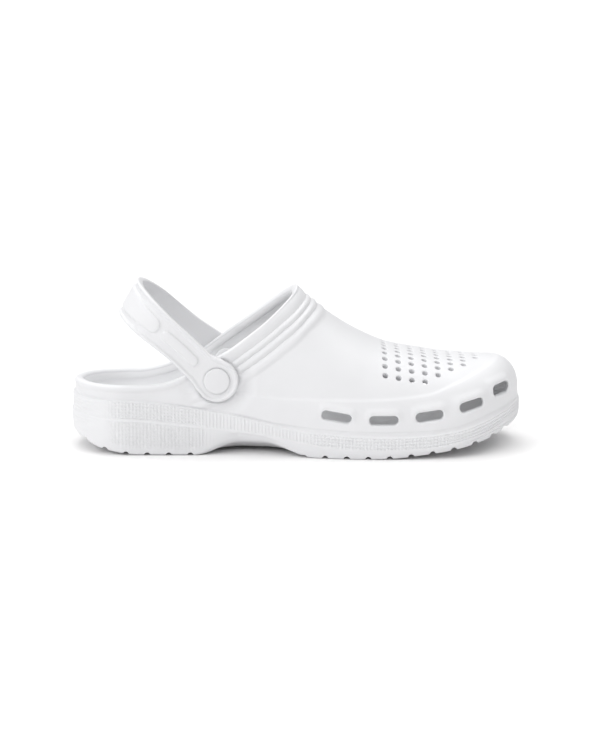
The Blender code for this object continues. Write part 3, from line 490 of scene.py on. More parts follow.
def opening_edge(inset, side):
    """Half of the collar's edge on the flat pattern, from the heel along one side to the throat."""
    turn = np.linspace(0.0, math.pi, 500)
    centre = np.array((80.0, 0.0))
    ray = np.stack((-np.cos(turn), side * np.sin(turn)), axis=1)
    near, far = np.zeros(len(turn)), np.full(len(turn), 200.0)
    for _ in range(48):
        middle = 0.5 * (near + far)
        flat = centre + ray * middle[:, None]
        spine = np.clip(flat[:, 0], HEEL_CENTRE, TOE_CENTRE)
        beyond = np.hypot(flat[:, 0] - spine, flat[:, 1]) > HALF_GIRTH
        point = last(flat, inset)
        inside = (point[:, 2] > rim_line(point[:, 0], point[:, 1])) & ~beyond
        near, far = np.where(inside, middle, near), np.where(inside, far, middle)
    flat = centre + ray * near[:, None]
    flat[0, 1] = flat[-1, 1] = 0.0
    return flat


def lengths(points):
    """Distance of each point of a line from the first one, along the line."""
    return np.concatenate(((0.0,), np.cumsum(np.linalg.norm(np.diff(points, axis=0), axis=1))))


def shares(points):
    run = lengths(points)
    return run / run[-1]


def pick(share, known_share, known):
    return np.stack([np.interp(share, known_share, column) for column in known.T], axis=1)


def closed(there, back):
    return np.concatenate((there, back[-2:0:-1]))


def even_loop(loop, count):
    loop = np.concatenate((loop, loop[:1]))
    return pick(bound(0.0, 1.0, count), shares(loop), loop)


EDGE = pattern_edge()


def sole_form(flat):
    return last(flat, -UPPER_INSET)


EDGE_SHARE = shares(sole_form(EDGE)[:, :2])


def fold(turn):
    """How far along its side a turn lies, and the side: 1 for lateral, -1 for medial."""
    medial = turn > 0.5
    return np.where(medial, 1.0 - turn, turn) * 2.0, np.where(medial, -1.0, 1.0)


def outline(turn):
    """Sole outline at turn: 0 at the heel, 0.5 at the toe by the lateral side, 1 at the heel again."""
    half, flip = fold(np.mod(turn, 1.0))

    def place(share):
        flat = pick(np.abs(share), EDGE_SHARE, EDGE)
        flat[:, 1] *= flip * np.where(share < 0.0, -1.0, 1.0)
        beyond_toe = share > 1.0
        folded = pick(2.0 - share, EDGE_SHARE, EDGE)
        folded[:, 1] *= -flip
        return sole_form(np.where(beyond_toe[:, None], folded, flat))

    here = place(half)
    ahead = place(half + 0.004) - place(half - 0.004)
    return here[:, :2], unit(np.stack((ahead[:, 1] * flip, -ahead[:, 0] * flip), axis=1))


OUTLINE_Y = outline(np.linspace(0.0, 1.0, 2001))[0][:, 1]
CENTRE = np.array((0.5 * (LENGTH - TIER_STEP_HEEL), 0.5 * (OUTLINE_Y.min() + OUTLINE_Y.max()), 0.0))


class Shell:
    """Collects the points and faces of one closed piece."""

    def __init__(self):
        self.points = []
        self.faces = []
        self.count = 0
        self.inside = []

    def add(self, points):
        points = np.asarray(points, dtype=float).reshape(-1, 3)
        self.points.append(points)
        self.count += len(points)
        return np.arange(self.count - len(points), self.count)

    def at(self, numbers):
        return np.concatenate(self.points)[numbers]

    def strips(self, loops):
        """Joins each closed loop to the next one, which has the same number of points."""
        for lower, upper in zip(loops, loops[1:]):
            corners = (lower, np.roll(lower, -1), np.roll(upper, -1), upper)
            self.faces.extend(np.stack(corners, axis=1).tolist())

    def build(self, name, material, sharp=60.0, painted_light_lining_material=None):
        """Makes the object. The faces numbered in inside have the second material."""
        points = np.concatenate(self.points)
        used = np.unique(np.concatenate([np.array(face) for face in self.faces]))
        renumber = np.full(len(points), -1)
        renumber[used] = np.arange(len(used))
        faces, second = [], []
        for k, face in enumerate(self.faces):
            corners = tuple(dict.fromkeys(int(renumber[corner]) for corner in face))
            if len(corners) > 2:
                faces.append(corners)
                second.append(any(start <= k < end for start, end in self.inside))
        mesh = bpy.data.meshes.new(name)
        mesh.from_pydata(((points[used] - CENTRE) * MM).tolist(), [], faces)
        work = bmesh.new()
        work.from_mesh(mesh)
        bmesh.ops.recalc_face_normals(work, faces=work.faces)
        for face in work.faces:
            face.smooth = True
        work.to_mesh(mesh)
        work.free()
        mesh.set_sharp_from_angle(angle=math.radians(sharp))
        for part in (material, painted_light_lining_material):
            if part:
                mesh.materials.append(part)
        mesh.polygons.foreach_set("material_index", [int(mark) for mark in second])
        obj = bpy.data.objects.new(name, mesh)
        bpy.context.scene.collection.objects.link(obj)
        return obj


def circle(radius, count):
    turn = (np.arange(count) + 0.5) * 2.0 * math.pi / count
    return radius * np.stack((np.cos(turn), np.sin(turn)), axis=1)


def slot(length, height, grow):
    """Rounded opening, grown all round."""
    corner = 0.43 * height + grow
    x, y = 0.5 * length + grow - corner, 0.5 * height + grow - corner
    quarter = VENT_POINTS // 4
    points = []
    for k, (a, b) in enumerate(((x, y), (-x, y), (-x, -y), (x, -y))):
        turn = (k + np.linspace(0.0, 1.0, quarter)) * 0.5 * math.pi
        points.append(np.stack((a + corner * np.cos(turn), b + corner * np.sin(turn)), axis=1))
    return even_loop(np.concatenate(points), VENT_POINTS)


def rings_on_skin(centres, frames, shape):
    """Flat points of the edges of like holes. shape gives offsets along the shoe and up."""
    _, run, rise = frames
    target = skin(centres)[:, None] + shape[:, :1] * run[:, None] + shape[:, 1:] * rise[:, None]
    flat = settle(skin, np.repeat(centres, len(shape), axis=0), target.reshape(-1, 3))
    return flat.reshape(len(centres), len(shape), 2)


def perforation_centres():
    across = np.linspace(0.0, -HALF_GIRTH, 400)
    section = plain_skin(np.stack((np.full_like(across, HOLE_FIRST_X), across), axis=1))
    rows = HOLE_PITCH_SIDE * np.arange(max(HOLE_ROWS))
    offsets = np.interp(rows, lengths(section), section[0, 1] - section[:, 1])
    start, wanted = [], []
    for column, rows in enumerate(HOLE_ROWS):
        x = HOLE_FIRST_X + HOLE_PITCH_X * column
        axis = float(station("axis", np.array((x,)))[0])
        for row in range(1 - rows, rows):
            start.append((x, 5.0 * row))
            wanted.append((x, axis + math.copysign(offsets[abs(row)], row)))
    return locate(plain_skin, start, (0, 1), wanted)


def hole_families():
    """Each hole as its rings from the outer edge inwards (flat points and depths below the skin), and how
    far it runs sideways through the wall instead of square to it."""
    families = []

    def take(centres, tilts, shapes, edge, pull):
        frames = hole_frames(centres, tilts)
        rings = [rings_on_skin(centres, frames, shape) for shape in shapes]
        for k in range(len(centres)):
            families.append(([(ring[k], depth) for ring, (_, depth) in zip(rings, edge)], pull))

    centres = perforation_centres()
    take(centres, np.zeros(len(centres)),
         [circle(HOLE_RADIUS + grow, HOLE_POINTS) for grow, _ in HOLE_EDGE], HOLE_EDGE, 0.0)
    for k, (_, _, length, height, _) in enumerate(VENTS):
        pair = [k, k + len(VENTS)]
        shapes = [slot(length, height, grow) for grow, _ in VENT_EDGE]
        take(VENT_CENTRES[pair], VENT_TILTS[pair], shapes, VENT_EDGE, VENT_PULL)
    pivots = [float(pivot_x(side * PIVOT_SEAT)) for side in (-1.0, 1.0)]
    start = [(pivots[0], -0.85 * HALF_GIRTH), (pivots[1], 0.85 * HALF_GIRTH)]
    centres = locate(plain_skin, start, (0, 2), [(pivot, PIVOT_Z) for pivot in pivots])
    take(centres, np.zeros(2), [circle(STEM_HOLE_RADIUS + grow, 24) for grow, _ in STEM_EDGE], STEM_EDGE, 0.0)
    return families


def inside_edges(points, starts, ends):
    """Which points lie inside the closed loops that edges from starts to ends make."""
    x, y = points[:, :1], points[:, 1:]
    (ax, ay), (bx, by) = starts.T, ends.T
    straddles = (ay > y) != (by > y)
    run = np.where(by == ay, 1e-12, by - ay)
    return (straddles & (x < ax + (bx - ax) * (y - ay) / run)).sum(1) % 2 == 1


def inside_loop(points, loop):
    return inside_edges(points, loop, np.roll(loop, -1, axis=0))


def loop_edges(first, count):
    return [(first + k, first + (k + 1) % count) for k in range(count)]


def face_edges(face):
    return [(min(a, b), max(a, b)) for a, b in zip(face, face[1:] + face[:1])]


def cells(rows):
    """Four corners of each cell between rows that close on themselves."""
    ahead = np.roll(rows, -1, axis=1)
    return np.stack((rows[:-1], ahead[:-1], ahead[1:], rows[1:]))


def triangulate(points, edges):
    found = delaunay_2d_cdt([Vector(point) for point in points], edges, [], 0, 1e-7, True)
    spots = np.array([tuple(point) for point in found[0]])
    became = {}
    for new, olds in enumerate(found[3]):
        for old in olds:
            became[old] = new
    back = {new: old for old, new in became.items()}
    return spots, np.array(found[2]), back


def near_any(low, high, boxes):
    hit = np.zeros(low.shape[:-1], dtype=bool)
    for box_low, box_high in boxes:
        hit |= ((low <= box_high) & (high >= box_low)).all(-1)
    return hit


def lay_grid(shell, surface, grid, rings):
    """Lays a grid of flat rows over a surface, with the rings left open. Returns point numbers."""
    margin = PATCH_MARGIN
    rows, cols = grid.shape[:2]
    flat = grid.reshape(-1, 2)
    number = shell.add(surface(flat)).reshape(rows, cols)
    ring_numbers = [shell.add(surface(ring)) for ring in rings]
    boxes = [(ring.min(0) - margin, ring.max(0) + margin) for ring in rings]
    touched = near_any(cells(grid).min(0), cells(grid).max(0), boxes)
    corners = np.moveaxis(cells(number), 0, -1)
    shell.faces.extend(corners[~touched].tolist())
    patch = corners[touched] - number[0, 0]
    drop = np.zeros(len(flat), dtype=bool)
    for ring in rings:
        middle = ring.mean(0)
        grown = middle + (ring - middle) * (1.0 + 0.25 * margin / np.linalg.norm(ring - middle, axis=1).min())
        close = ((flat >= ring.min(0) - margin) & (flat <= ring.max(0) + margin)).all(1)
        drop[close] |= inside_loop(flat[close], grown)
    counts = Counter(edge for face in patch.tolist() for edge in face_edges(face))
    border = [edge for edge, count in counts.items() if count == 1]
    kept = np.unique(patch)
    kept = kept[~drop[kept]]
    local = {int(old): k for k, old in enumerate(kept)}
    points = [flat[kept]]
    owner = (kept + number[0, 0]).tolist()
    edges = [(local[a], local[b]) for a, b in border]
    for ring, numbers in zip(rings, ring_numbers):
        first = len(owner)
        points.append(ring)
        owner += numbers.tolist()
        edges += loop_edges(first, len(ring))
    spots, faces, back = triangulate(np.concatenate(points), edges)
    middle = spots[faces].mean(1)
    parts = np.array_split(middle, 1 + len(middle) // PATCH_BATCH)
    keep = np.concatenate([inside_edges(part, *flat[np.array(border).T]) for part in parts])
    for ring in rings:
        close = ((middle >= ring.min(0)) & (middle <= ring.max(0))).all(1)
        keep[close] &= ~inside_loop(middle[close], ring)
    one, two = spots[faces[:, 1]] - spots[faces[:, 0]], spots[faces[:, 2]] - spots[faces[:, 0]]
    area = np.abs(one[:, 0] * two[:, 1] - one[:, 1] * two[:, 0])
    sharers = {(min(edge), max(edge)): [] for edge in edges}
    for k in np.nonzero(keep)[0]:
        for edge in face_edges([back[int(corner)] for corner in faces[k]]):
            if edge in sharers:
                sharers[edge].append(k)
    for both in sharers.values():
        if len(both) > 1:
            keep[min(both, key=lambda k: area[k])] = False
    shell.faces.extend([owner[back[int(corner)]] for corner in face] for face in faces[keep])
    return number, ring_numbers


PATCH_MARGIN = 1.2
PATCH_BATCH = 4000
HALF_COLUMNS = 240
HALF_TURNS = np.linspace(0.0, 1.0, HALF_COLUMNS + 1)
TURNS = bound(0.0, 1.0, 2 * HALF_COLUMNS)
VENT_ROWS = np.linspace(0.0, 1.0, 16)[1:]
LEDGE_ROWS = np.linspace(-1.0, 1.0, 7)
VAMP_ROWS = np.linspace(0.0, 1.0, 40)[1:-1]
RIDGE_STEPS = (0.12, 0.26, 0.42, 0.58, 0.74, 0.88, 1.0)
LINING_ROWS = np.linspace(0.0, 1.0, 17)[:-1]


def layout(inset):
    """Feet and heads of the columns that run from the feather line to the collar's edge."""
    head_share = HALF_TURNS * (1.75 - 0.75 * HALF_TURNS)
    feet = pick(HALF_TURNS, EDGE_SHARE, EDGE)
    feet[0, 1] = feet[-1, 1] = 0.0
    heads = []
    for side in (-1.0, 1.0):
        opening = opening_edge(inset, side)
        heads.append(pick(head_share, shares(last(opening, inset)), opening))
    return closed(feet, feet * np.array((1.0, -1.0))), closed(*heads)


def crossing(levels, values, wanted):
    above = np.nonzero(values >= wanted)[0]
    if not len(above):
        return levels[-1]
    k = max(int(above[0]), 1)
    gap = values[k] - values[k - 1]
    return levels[k - 1] + (levels[k] - levels[k - 1]) * np.clip((wanted - values[k - 1]) / gap, 0.0, 1.0)


def flat_column(foot, head, rows):
    """Flat points from foot to head, at shares of the way that never fall back."""
    rows = np.maximum.accumulate(rows + 1e-5 * np.arange(len(rows)) / len(rows))
    return foot + (head - foot) * rows[:, None]


def skin_grid(feet, heads):
    """Flat points of the skin's rows: below the ledge, across it, over the vamp, over the ridges."""
    marks = []
    for start, end, _ in RIDGES:
        marks += [max(start, 0.0) + (end - max(start, 0.0)) * step for step in RIDGE_STEPS]
    marks = np.array(marks[::-1])
    levels = np.linspace(0.0, 1.0, 400)
    grid = []
    for foot, head in zip(feet, heads):
        flat = foot + (head - foot) * levels[:, None]
        point = plain_skin(flat)
        ledge = point[:, 2] - station("ledge", point[:, 0])
        low, high = (crossing(levels, ledge, side * LEDGE_RUN) for side in (-1.0, 1.0))
        depth = np.minimum.accumulate(from_rim(point))
        room = np.interp(high, levels, depth)
        scaled = marks * min(1.0, 0.8 * room / marks[0])
        dip, first = max(depth[-1], 0.0), RIDGES[0][1]
        scaled = np.where(scaled < first, dip + scaled * (first - dip) / first, scaled)
        collar_rows = np.interp(-scaled, -depth, levels)
        rows = np.concatenate((
            (0.0,),
            low * VENT_ROWS[:-1],
            low + (high - low) * (0.5 + 0.5 * LEDGE_ROWS),
            high + (collar_rows[0] - high) * VAMP_ROWS,
            collar_rows,
            (1.0,),
        ))
        grid.append(flat_column(foot, head, rows))
    return np.array(grid).transpose(1, 0, 2)


def lining_grid(feet, heads):
    """Flat points of the lining's rows: even ones up the wall, close ones over the beads of the rim."""
    marks = np.array(INNER_MARKS[::-1])
    levels = np.linspace(0.0, 1.0, 400)
    grid = []
    for foot, head in zip(feet, heads):
        depth = np.minimum.accumulate(from_rim(plain_lining(foot + (head - foot) * levels[:, None])))
        below = depth - depth[-1]
        scaled = marks * min(1.0, 0.7 * below[0] / marks[0])
        rim = np.interp(-scaled, -below, levels)
        rows = np.concatenate((rim[0] * LINING_ROWS, rim, (1.0,)))
        grid.append(flat_column(foot, head, rows))
    return np.array(grid).transpose(1, 0, 2)


def side_point(turn, offset, height):
    place, normal = outline(turn)
    return np.column_stack((place + normal * np.broadcast_to(offset, turn.shape)[:, None], height))


def foot_offset(turn):
    """Where the upper's lowest edge stands, from the sole's outline."""
    half, flip = fold(turn)
    flat = pick(half, EDGE_SHARE, EDGE)
    flat[:, 1] *= flip
    place, normal = outline(turn)
    return ((skin(flat)[:, :2] - place) * normal).sum(1)


def build_upper(material, painted_light_lining_material):
    """Upper, lining and footbed in one closed piece that sits in the sole."""
    shell = Shell()
    families = hole_families()
    feet, heads = layout(0.0)
    number, outer = lay_grid(shell, skin, skin_grid(feet, heads), [rings[0][0] for rings, _ in families])
    inner_feet, inner_heads = layout(WALL)
    inner_grid = lining_grid(inner_feet, inner_heads)
    inner_rings = []
    for rings, pull in families:
        ring = rings[-1][0]
        inwards = -normals(plain_skin, ring)
        sideways = np.zeros_like(inwards)
        sideways[:, 1] = np.sign(inwards[:, 1])
        way = inwards * (1.0 - pull) + sideways * pull
        reach = WALL / np.maximum((way * inwards).sum(1, keepdims=True), 0.4)
        inner_rings.append(settle(lining, ring, skin(ring) + way * reach))
    first_inside = len(shell.faces)
    inner, inner_edges = lay_grid(shell, lining, inner_grid, inner_rings)
    shell.inside.append((first_inside, len(shell.faces)))
    for (rings, _), first, final in zip(families, outer, inner_edges):
        loops = [first]
        for ring, depth in rings[1:]:
            loops.append(shell.add(skin(ring) - depth * normals(plain_skin, ring)))
        shell.strips(loops + [final])
    rim_out, rim_in = shell.at(number[-1]), shell.at(inner[-1])
    loops = [number[-1]]
    for turn in np.linspace(0.0, math.pi, 12)[1:-1]:
        share = 0.5 + 0.5 * math.cos(turn)
        lift = np.array((0.0, 0.0, RIM_ROLL * math.sin(turn) ** 0.85))
        loops.append(shell.add(rim_out * share + rim_in * (1.0 - share) + lift))
    shell.strips(loops + [inner[-1]])

    x = outline(TURNS)[0][:, 0]
    footbed, feather = station("footbed", x), station("feather", x)
    depth = feather - footbed
    inset = UPPER_INSET + WALL
    loops = [inner[0]]
    for share in np.linspace(0.0, 1.0, 9)[1:]:
        turn = 0.5 * math.pi * share
        loops.append(shell.add(side_point(
            TURNS, -inset - 7.0 * (1.0 - math.cos(turn)), feather - depth * (0.02 + 0.94 * math.sin(turn)))))
    loops += across_rows(shell, loops[-1], 9, lambda points: points)
    first_inside = len(shell.faces)
    shell.strips(loops)
    close_middle(shell, loops[-1])
    shell.inside.append((first_inside, len(shell.faces)))

    loops = [number[0], shell.add(side_point(TURNS, foot_offset(TURNS) - 0.6, feather))]
    loops.append(shell.add(side_point(TURNS, -4.6, footbed - 2.0)))
    shell.strips(loops)
    close_middle(shell, loops[-1])
    return shell.build("clog_upper", material, painted_light_lining_material=painted_light_lining_material)


def across_rows(shell, loop, count, shape):
    """Rows between a loop and its axis, each point on the line to the point across."""
    points = shell.at(loop)
    other = points[(-np.arange(len(loop))) % len(loop)]
    rows = []
    for share in np.linspace(0.0, 0.5, count + 1)[1:-1]:
        rows.append(shell.add(shape(points + (other - points) * share)))
    return rows


def close_middle(shell, loop):
    count = len(loop)
    for k in range(count // 2):
        shell.faces.append([loop[k], loop[k + 1], loop[(count - k - 1) % count], loop[(count - k) % count]])


def arch_share(x):
    return span(*ARCH_X, x)


def sole_turns():
    """Turns with a few columns to each rib on both sides, and plain columns at heel and toe."""
    fine = np.linspace(0.0, 0.5, 4001)
    place = outline(fine)[0]
    run = lengths(place)
    low, high = np.interp(BAND_RIBS_X[::3], place[:, 0], run)
    count = int(round((high - low) / RIB_PITCH))
    half = np.concatenate((
        bound(0.0, low, int(low / PLAIN_COLUMN)),
        np.linspace(low, high, count * RIB_COLUMNS + 1),
        np.linspace(high, run[-1], int((run[-1] - high) / PLAIN_COLUMN))[1:],
    ))
    turn = np.interp(half, run, fine)
    rib = 0.5 - 0.5 * np.cos(2.0 * math.pi * (half - low) / (high - low) * count)
    rib = np.where((half < low) | (half > high), 1.0, rib)
    return closed(turn, 1.0 - turn), closed(rib, rib)


def tread(x):
    """Height that the grooves of the tread reach above the floor side."""
    height = np.full(len(x), -1.0)
    for first, pitch, count in TREADS:
        for k in range(count):
            middle = first + pitch * k
            room = TREAD_RADIUS ** 2 - (x - middle) ** 2
            low = float(station("bottom", np.array((middle,)))[0])
            height = np.maximum(height, np.where(room > 0.0, low + np.sqrt(np.maximum(room, 0.0)), -1.0))
    return height


def build_sole(material):
    """Side with its steps and ribs, and the underside with its tread."""
    shell = Shell()
    turn, rib = sole_turns()
    place, normal = outline(turn)
    x = place[:, 0]
    feather = station("feather", x)
    top = station("band_top", x) + BAND_RAISE * span(*BAND_RAISE_X, x)
    low_band = station("band_bottom", x) + hermite(*np.array(TIER_LIFT).T, x)
    bottom = station("bottom", x)
    room = feather - top
    arch = arch_share(x)
    tier = TIER_OUT[0] + (TIER_OUT[1] - TIER_OUT[0]) * smoothstep(*TIER_GROW_X, x)
    tier = tier * (1.0 - smoothstep(*TIER_FADE_X, x))
    strip_top = feather - np.minimum(0.25 * room, 0.9)
    strip_low = top + np.minimum(0.38 * room, 0.5)
    strip = -BAND_STEP - 0.4 * (1.0 - smoothstep(1.4, 3.0, room))
    band_ribs, tier_ribs = span(*BAND_RIBS_X, x), span(*TIER_RIBS_X, x)
    grid = 1.0 - span(*UNCROSSED_RIBS_X, x)
    lined = smoothstep(*TOE_GROOVES_X, x) + HEEL_GROOVES_SHARE * (1.0 - smoothstep(*HEEL_GROOVES_X, x))
    loops = []

    def out(offset):
        return place + normal * np.broadcast_to(offset, x.shape)[:, None]

    def row(offset, height):
        loops.append(shell.add(np.column_stack((out(offset), height))))

    def carved(height, ribs, fade, level=None):
        """How far the ribs, their cross lines and the lines of toe and heel are cut in at a height.

        level is how far a row is a cross line, for rows that have the lines at their own pitch.
        """
        wave = 0.5 + 0.5 * np.cos(2.0 * math.pi * (top - height) / GRID_PITCH)
        between = (1.0 - (wave if level is None else level)) ** RIB_ROUND
        crossed = (1.0 - 0.9 * grid + 0.9 * grid * between) * (0.7 + 0.65 * grid)
        cut = RIB_DEPTH * (1.0 - rib) ** RIB_ROUND * ribs * crossed
        return fade * np.maximum(cut, GROOVE_DEPTH * (1.0 - wave) * lined)

    foot = foot_offset(turn)
    groove = 0.22 * smoothstep(1.4, 3.0, room)
    row(-4.66, station("footbed", x) - 2.08)
    row(foot - 0.63, feather - 0.05)
    row(foot - 0.02, feather - 0.01)
    row(foot - groove, feather - np.minimum(0.1 * room, 0.3))
    row(0.5 * (foot - groove + strip), 0.5 * (feather + strip_top))
    row(strip - 0.03, strip_top)
    row(strip, 0.5 * (strip_top + strip_low))
    row(strip + 0.06, strip_low)
    row(0.5 * (strip - 0.24), 0.5 * (strip_low + top - 0.35))
    row(-0.3 - carved(top - 0.3, band_ribs, 0.3), top - 0.35)
    row(-0.06 - carved(top - 0.6, band_ribs, 0.8), top - 0.65)
    for share in np.linspace(0.0, 1.0, 25):
        height = top - 0.9 + (low_band + 1.0 - top + 0.9) * share
        row(-carved(height, band_ribs, 1.0), height)
    row(-0.4 * carved(low_band, band_ribs, 1.0), low_band + 0.75)
    row(0.06 * tier, low_band + 0.58)
    row(0.5 * tier, low_band + 0.14)
    row(0.92 * tier - 0.3 * carved(low_band, tier_ribs, 1.0), low_band - 0.32)
    edge = bottom + EDGE_HEIGHT + (low_band - 1.0 - bottom - EDGE_HEIGHT) * arch
    start = tier - TIER_TAPER
    edge = np.maximum(edge, tread(out(start)[:, 0]) + 0.3)
    for share in np.linspace(0.0, 1.0, 3 * TIER_LINES + 1):
        height = low_band - 0.6 + (edge - low_band + 0.6) * share
        fade = 1.0 - 0.85 * smoothstep(0.72, 0.95, share)
        level = 0.5 + 0.5 * math.cos(2.0 * math.pi * TIER_LINES * share)
        row(tier - TIER_TAPER * share ** 2 - carved(height, tier_ribs, fade, level), height)

    facing = np.abs(normal[:, 0]) ** 3
    round_in = EDGE_ROUND + (END_EDGE_ROUND - EDGE_ROUND) * facing + ARCH_UNDERCUT * arch
    ground = station("bottom", out(-round_in)[:, 0]) + arch * (ARCH_RISE + ARCH_HOLLOW)
    for share in np.linspace(0.0, 1.0, 7)[1:]:
        swing = 0.5 * math.pi * share
        offset = start + (-round_in - start) * (1.0 - math.cos(swing))
        height = edge + (ground - edge) * math.sin(swing)
        row(offset, np.maximum(height, tread(out(offset)[:, 0])))
    under = UNDERSIDE_ROW + 4.0 * arch
    for share in (0.3, 0.65, 1.0):
        offset = -(round_in + (under - round_in) * share)
        at = out(offset)[:, 0]
        hollow = ARCH_HOLLOW * (1.0 - smoothstep(0.0, 1.0, share))
        height = station("bottom", at) + arch * (ARCH_RISE + hollow)
        row(offset, np.maximum(height, tread(at)))

    def floor_side(points):
        at = points[:, 0]
        points[:, 2] = np.maximum(station("bottom", at) + arch_share(at) * ARCH_RISE, tread(at))
        return points

    loops += across_rows(shell, loops[-1], 6, floor_side)
    shell.strips(loops)
    close_middle(shell, loops[0])
    close_middle(shell, loops[-1])
    return shell.build("clog_sole", material, 50.0)


def strap_frame(along, width, side_y):
    """Carries strap measures (along the arm, across its width, sideways) to the shoe's frame."""
    back = np.array((-math.cos(STRAP_ANGLE), 0.0, math.sin(STRAP_ANGLE)))
    up = np.array((math.sin(STRAP_ANGLE), 0.0, math.cos(STRAP_ANGLE)))
    pivot = np.array((0.0, 0.0, PIVOT_Z))
    reach = along + STRAP_LEAN * width * np.clip(along / STRAP_REACH, 0.0, 1.0) ** 2
    skew = STRAP_SKEW * np.clip(-side_y / 36.0, -1.0, 1.0) * smoothstep(8.0, 36.0, along)
    point = pivot + reach[..., None] * back + (width + skew)[..., None] * up
    point[..., 0] += pivot_x(side_y)
    point[..., 1] = side_y
    return point


def strap_line():
    """Middle line of the strap round the heel from lobe to lobe, with its run and length."""
    middle = PIVOT_SEAT + FIT_GAP + 0.5 * STRAP_THICK
    bend = np.linspace(0.0, 0.5 * math.pi, 800)
    power = 2.0 / STRAP_BEND_SQUARE
    reach = STRAP_REACH - 0.5 * STRAP_THICK - STRAP_STRAIGHT
    along = np.concatenate(((-STRAP_LEAD, 0.0), STRAP_STRAIGHT + reach * np.sin(bend) ** power))
    sideways = np.concatenate(((-middle, -middle), -middle * np.cos(bend) ** power))
    line = np.stack((along, sideways), axis=1)
    line = np.concatenate((line, line[-2::-1] * np.array((1.0, -1.0))))
    run = lengths(line) - STRAP_LEAD
    even = np.arange(run[0], run[-1] + 0.25, 0.5)
    return pick(even, run, line), even, run[-1] - STRAP_LEAD


STRAP_LINE, STRAP_RUN, STRAP_LENGTH = strap_line()
STRAP_AHEAD = unit(np.gradient(STRAP_LINE, axis=0))
STRAP_OUT = np.stack((STRAP_AHEAD[:, 1], -STRAP_AHEAD[:, 0]), axis=1)


def on_strap(flat, depth):
    """Carries strap pattern points (run, width) at a depth from the middle to the shoe's frame."""
    out = unit(pick(flat[:, 0], STRAP_RUN, STRAP_OUT))
    spot = pick(flat[:, 0], STRAP_RUN, STRAP_LINE) + out * np.broadcast_to(depth, len(flat))[:, None]
    return strap_frame(spot[:, 0], flat[:, 1], spot[:, 1])


def strap_half(run):
    return strap_width(np.interp(run, STRAP_RUN, STRAP_LINE[:, 0]))


def band_loop(start, end, half, count):
    """Closed loop round a strip of the pattern: half(run) to each side, with rounded ends."""
    run = np.linspace(start, end, 160)
    wide = half(run)
    turn = np.linspace(0.5 * math.pi, 1.5 * math.pi, 40)[1:-1]
    cap = np.stack((np.cos(turn), np.sin(turn)), axis=1)
    first, final = wide[0] * cap + (start, 0.0), -wide[-1] * cap + (end, 0.0)
    lower, upper = np.stack((run, -wide), axis=1), np.stack((run, wide), axis=1)
    return even_loop(np.concatenate((first, lower, final, upper[::-1])), count)


def shrunk(loop, inset):
    """A loop moved inwards by inset. The loop runs anticlockwise."""
    ahead = unit(np.roll(loop, -1, axis=0) - np.roll(loop, 1, axis=0))
    return loop + inset * np.stack((-ahead[:, 1], ahead[:, 0]), axis=1)


# Edges of strap, pads and button seats: (inset from the loop, height over the strap's middle)
STRAP_EDGE = (
    (0.9, -2.1), (0.45, -2.03), (0.14, -1.8), (0.0, -1.4), (0.0, -0.4), (0.0, 0.7),
    (0.1, 1.2), (0.36, 1.62), (0.8, 1.92), (1.25, 2.05), (1.65, 2.03), (1.95, 1.84),
    (2.25, 1.5), (2.6, 1.16), (2.95, 1.0), (3.25, 0.96),
)
STRAP_PANEL = 0.96
PAD_EDGE = ((-0.6, 0.96), (-0.38, 1.02), (-0.14, 1.28), (0.12, 1.7), (0.4, 2.02), (0.9, 2.14))
PAD_TOP = 2.18
SEAT_EDGE = ((0.6, 0.96), (0.4, 1.0), (0.2, 0.98), (0.0, 0.92), (-0.22, 0.84), (-0.46, 0.77), (-0.68, 0.74))


def fill(shell, rim, holes, depth, spacing):
    """Fills a loop of the strap's pattern, less its holes. rim and holes are (flat, numbers)."""
    points, owner, edges = [], [], []
    for flat, numbers in [rim] + holes:
        first = len(owner)
        points.append(flat)
        owner += numbers.tolist()
        edges += loop_edges(first, len(flat))
    low, high = rim[0].min(0), rim[0].max(0)
    across, along = np.meshgrid(np.arange(low[1], high[1], spacing), np.arange(low[0], high[0], spacing))
    mesh = np.stack((along.ravel(), across.ravel()), axis=1)

    def within(spots):
        kept = inside_loop(spots, rim[0])
        for flat, _ in holes:
            kept &= ~inside_loop(spots, flat)
        return kept

    mesh = mesh[within(mesh)]
    every = np.concatenate(points)
    gap = np.array([np.min(np.abs(every - spot).max(1)) for spot in mesh])
    mesh = mesh[gap > 0.6 * spacing]
    owner += shell.add(on_strap(mesh, depth)).tolist()
    spots, faces, back = triangulate(np.concatenate((every, mesh)), edges)
    faces = faces[within(spots[faces].mean(1))]
    shell.faces.extend([owner[back[int(corner)]] for corner in face] for face in faces)


